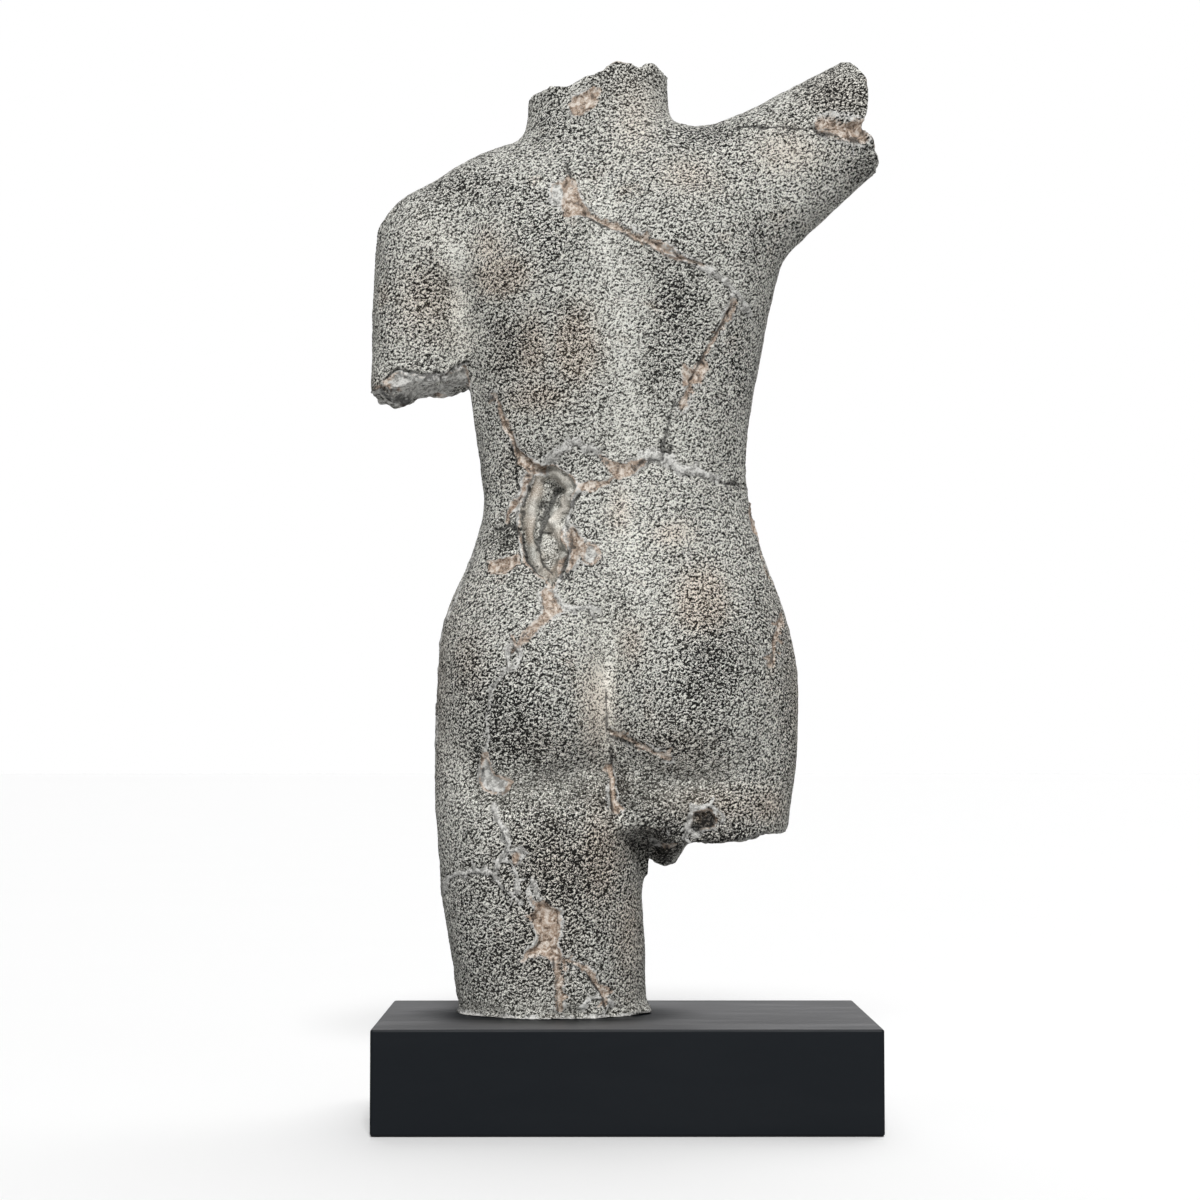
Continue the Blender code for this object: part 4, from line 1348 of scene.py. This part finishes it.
@dataclass
class Torso:
    """The figure's skin, made from its solid. Lengths are in millimetres, and a sharp edge's angle in degrees."""

    node: str = "torso"
    sharp: float = 42.0
    voxel: float = 1.15
    easing: int = 7
    faces: int = 192000
    undulation: float = 0.55
    least_undulation: float = 0.4
    pitting: float = 0.3
    seed_step: int = 100
    bedding: Bedding = field(default_factory=Bedding)

    def build(self, finish: bpy.types.Material) -> bpy.types.Object:
        """Builds the skin and puts it in the solid's place.

        Args:
            finish: What it is finished with.

        Returns:
            The piece.
        """
        piece = self.take_over()
        self.work(piece)
        self.modify(piece, "DECIMATE", ratio=self.faces / self.triangles(piece))
        piece.data.shade_smooth()
        piece.data.materials.clear()
        piece.data.materials.append(finish)
        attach(piece, "root")
        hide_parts(self.node)
        return piece

    def take_over(self) -> bpy.types.Object:
        """Copies the solid and gives it an even, fine skin.

        Returns:
            The piece, without its marks.
        """
        mesh = bmesh.new()
        mesh.from_mesh(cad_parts[self.node].data)
        bmesh.ops.remove_doubles(mesh, verts=mesh.verts, dist=0.000001)
        crease = mesh.edges.layers.float.new("crease_edge")
        for edge in mesh.edges:
            edge[crease] = float(edge.calc_face_angle(0) > math.radians(self.sharp))
        data = bpy.data.meshes.new("torso_skin")
        mesh.to_mesh(data)
        mesh.free()
        piece = bpy.data.objects.new("torso_skin", data)
        bpy.context.scene.collection.objects.link(piece)
        self.modify(piece, "SUBSURF", levels=1)
        self.modify(piece, "REMESH", mode="VOXEL", voxel_size=self.voxel / MILLIMETRES)
        self.modify(piece, "SMOOTH", factor=0.5, iterations=self.easing)
        return piece

    def modify(self, piece: bpy.types.Object, kind: str, **settings: object) -> None:
        """Applies one modifier to a piece."""
        modifier = piece.modifiers.new(kind.lower(), kind)
        for name, value in settings.items():
            setattr(modifier, name, value)
        shaped = bpy.data.meshes.new_from_object(piece.evaluated_get(bpy.context.evaluated_depsgraph_get()))
        piece.modifiers.clear()
        before, piece.data = piece.data, shaped
        bpy.data.meshes.remove(before)

    def triangles(self, piece: bpy.types.Object) -> int:
        """How many triangles a piece has."""
        piece.data.calc_loop_triangles()
        return len(piece.data.loop_triangles)

    def work(self, piece: bpy.types.Object) -> None:
        """Works every mark into the skin and keeps its paint on the points.

        Args:
            piece: The skin.
        """
        mesh = piece.data
        count = len(mesh.vertices)
        points, normals = np.empty(count * 3, np.float32), np.empty(count * 3, np.float32)
        mesh.vertices.foreach_get("co", points)
        mesh.vertex_normals.foreach_get("vector", normals)
        points, normals = points.reshape(-1, 3).astype(float) * MILLIMETRES, normals.reshape(-1, 3).astype(float)
        canvas = Canvas(points, normals)
        for mark in (*STAINS_AND_LIGHT.values(), *BANDS.values()):
            mark.work(canvas)
        for seed, mark in enumerate((*CHIPS.values(), *SEAMS.values(), *BREAKS.values())):
            mark.work(canvas, self.seed_step * seed)
        self.weather(canvas)
        moved = points + normals * canvas.lift[:, None] + self.bedding.work(canvas)
        moved[:, 2] = np.maximum(moved[:, 2], self.bedding.seat)
        mesh.vertices.foreach_set("co", (moved / MILLIMETRES).astype(np.float32).ravel())
        for name, values in canvas.paint.items():
            mesh.attributes.new(name, "FLOAT", "POINT").data.foreach_set("value", values.astype(np.float32))
        mesh.update()

    def weather(self, canvas: Canvas) -> None:
        """Gives the whole skin its slight unevenness."""
        quiet = 1 - canvas.paint["calm"]
        least = self.least_undulation
        canvas.lift += self.undulation * Noise.UNDULATION.lumps(canvas.points) * (least + (1 - least) * quiet)
        canvas.lift += self.pitting * Noise.PITTING.rubble(canvas.points) * quiet


@dataclass
class Plinth:
    """The block that the figure stands on, which keeps its solid."""

    node: str = "plinth"

    def build(self, finish: bpy.types.Material) -> bpy.types.Object:
        """Finishes the block."""
        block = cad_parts[self.node]
        if not block.data.materials:
            block.data.materials.append(finish)
        for slot in block.material_slots:
            slot.material = finish
        return block


@dataclass
class Studio:
    """The pale floor, the soft lights and the white surroundings."""

    floor_reach: float = 40.0
    floor_drop: float = 0.0003
    floor_colour: Colour = (0.9, 0.9, 0.9)
    floor_low: Colour = (0.891, 0.891, 0.891)
    floor_cloud: float = 3.0
    floor_roughness: float = 0.7
    floor_bounce: Colour = (0.5, 0.5, 0.5)
    surroundings: float = 0.13
    # Where each light comes from, how many degrees wide it is, and how strong
    lights: dict[str, tuple[Triple, float, float]] = field(
        default_factory=lambda: {
            "key": ((0.02, -0.85, 0.72), 16.0, 3.3),
            "fill": ((0.7, -0.9, 0.05), 60.0, 0.3),
            "behind": ((0.3, 0.9, 1.3), 60.0, 1.3),
        }
    )

    def build(self) -> bpy.types.Object:
        """Sets up the studio.

        Returns:
            The floor.
        """
        scene = bpy.context.scene
        scene.view_settings.view_transform = "Standard"
        mesh = bmesh.new()
        bmesh.ops.create_circle(mesh, cap_ends=True, segments=64, radius=self.floor_reach)
        data = bpy.data.meshes.new("floor")
        mesh.to_mesh(data)
        mesh.free()
        floor = bpy.data.objects.new("floor", data)
        floor.location.z = -self.floor_drop
        scene.collection.objects.link(floor)
        data.materials.append(self.floor_finish())
        for name, (place, spread, power) in self.lights.items():
            light = bpy.data.lights.new(name, "SUN")
            light.angle, light.energy = math.radians(spread), power
            lamp = bpy.data.objects.new(name, light)
            lamp.rotation_euler = Vector(place).to_track_quat("Z", "Y").to_euler()
            scene.collection.objects.link(lamp)
        self.surround(scene)
        return floor

    def floor_finish(self) -> bpy.types.Material:
        """A pale, faintly uneven floor that throws little light back up."""
        material, graph, shader = open_material("floor")
        cloud = graph.noise(graph.place(), self.floor_cloud)[0]
        pale = graph.blend(cloud, self.floor_low, self.floor_colour)
        colour = graph.blend(graph.seen(), self.floor_bounce, pale)
        graph.dress(shader, {"Base Color": colour, "Roughness": self.floor_roughness})
        return material

    def surround(self, scene: bpy.types.Scene) -> None:
        """White surroundings, dimmer as a source of light than they look."""
        world = bpy.data.worlds.new("studio")
        world.use_nodes = True
        graph = Graph(world.node_tree)
        back = world.node_tree.nodes["Background"]
        strength = graph.scaled(graph.seen(), 1 - self.surroundings, self.surroundings)
        graph.dress(back.inputs, {"Color": (1, 1, 1, 1), "Strength": strength})
        scene.world = world


def main() -> None:
    """Builds every piece, the studio and the camera, and logs how many faces each piece has."""
    logging.basicConfig(level=logging.INFO, format="%(message)s")
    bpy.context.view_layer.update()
    effects = Effects()
    for piece in (Torso().build(AgedStone().build(effects)), Plinth().build(BlackLacquer().build(effects))):
        LOG.info("%s: %d faces", piece.name, len(piece.data.polygons))
    LOG.info("%s: ready", Studio().build().name)
    LOG.info("%s: ready", PHOTOGRAPH.camera().name)


if __name__ == "__main__":
    main()
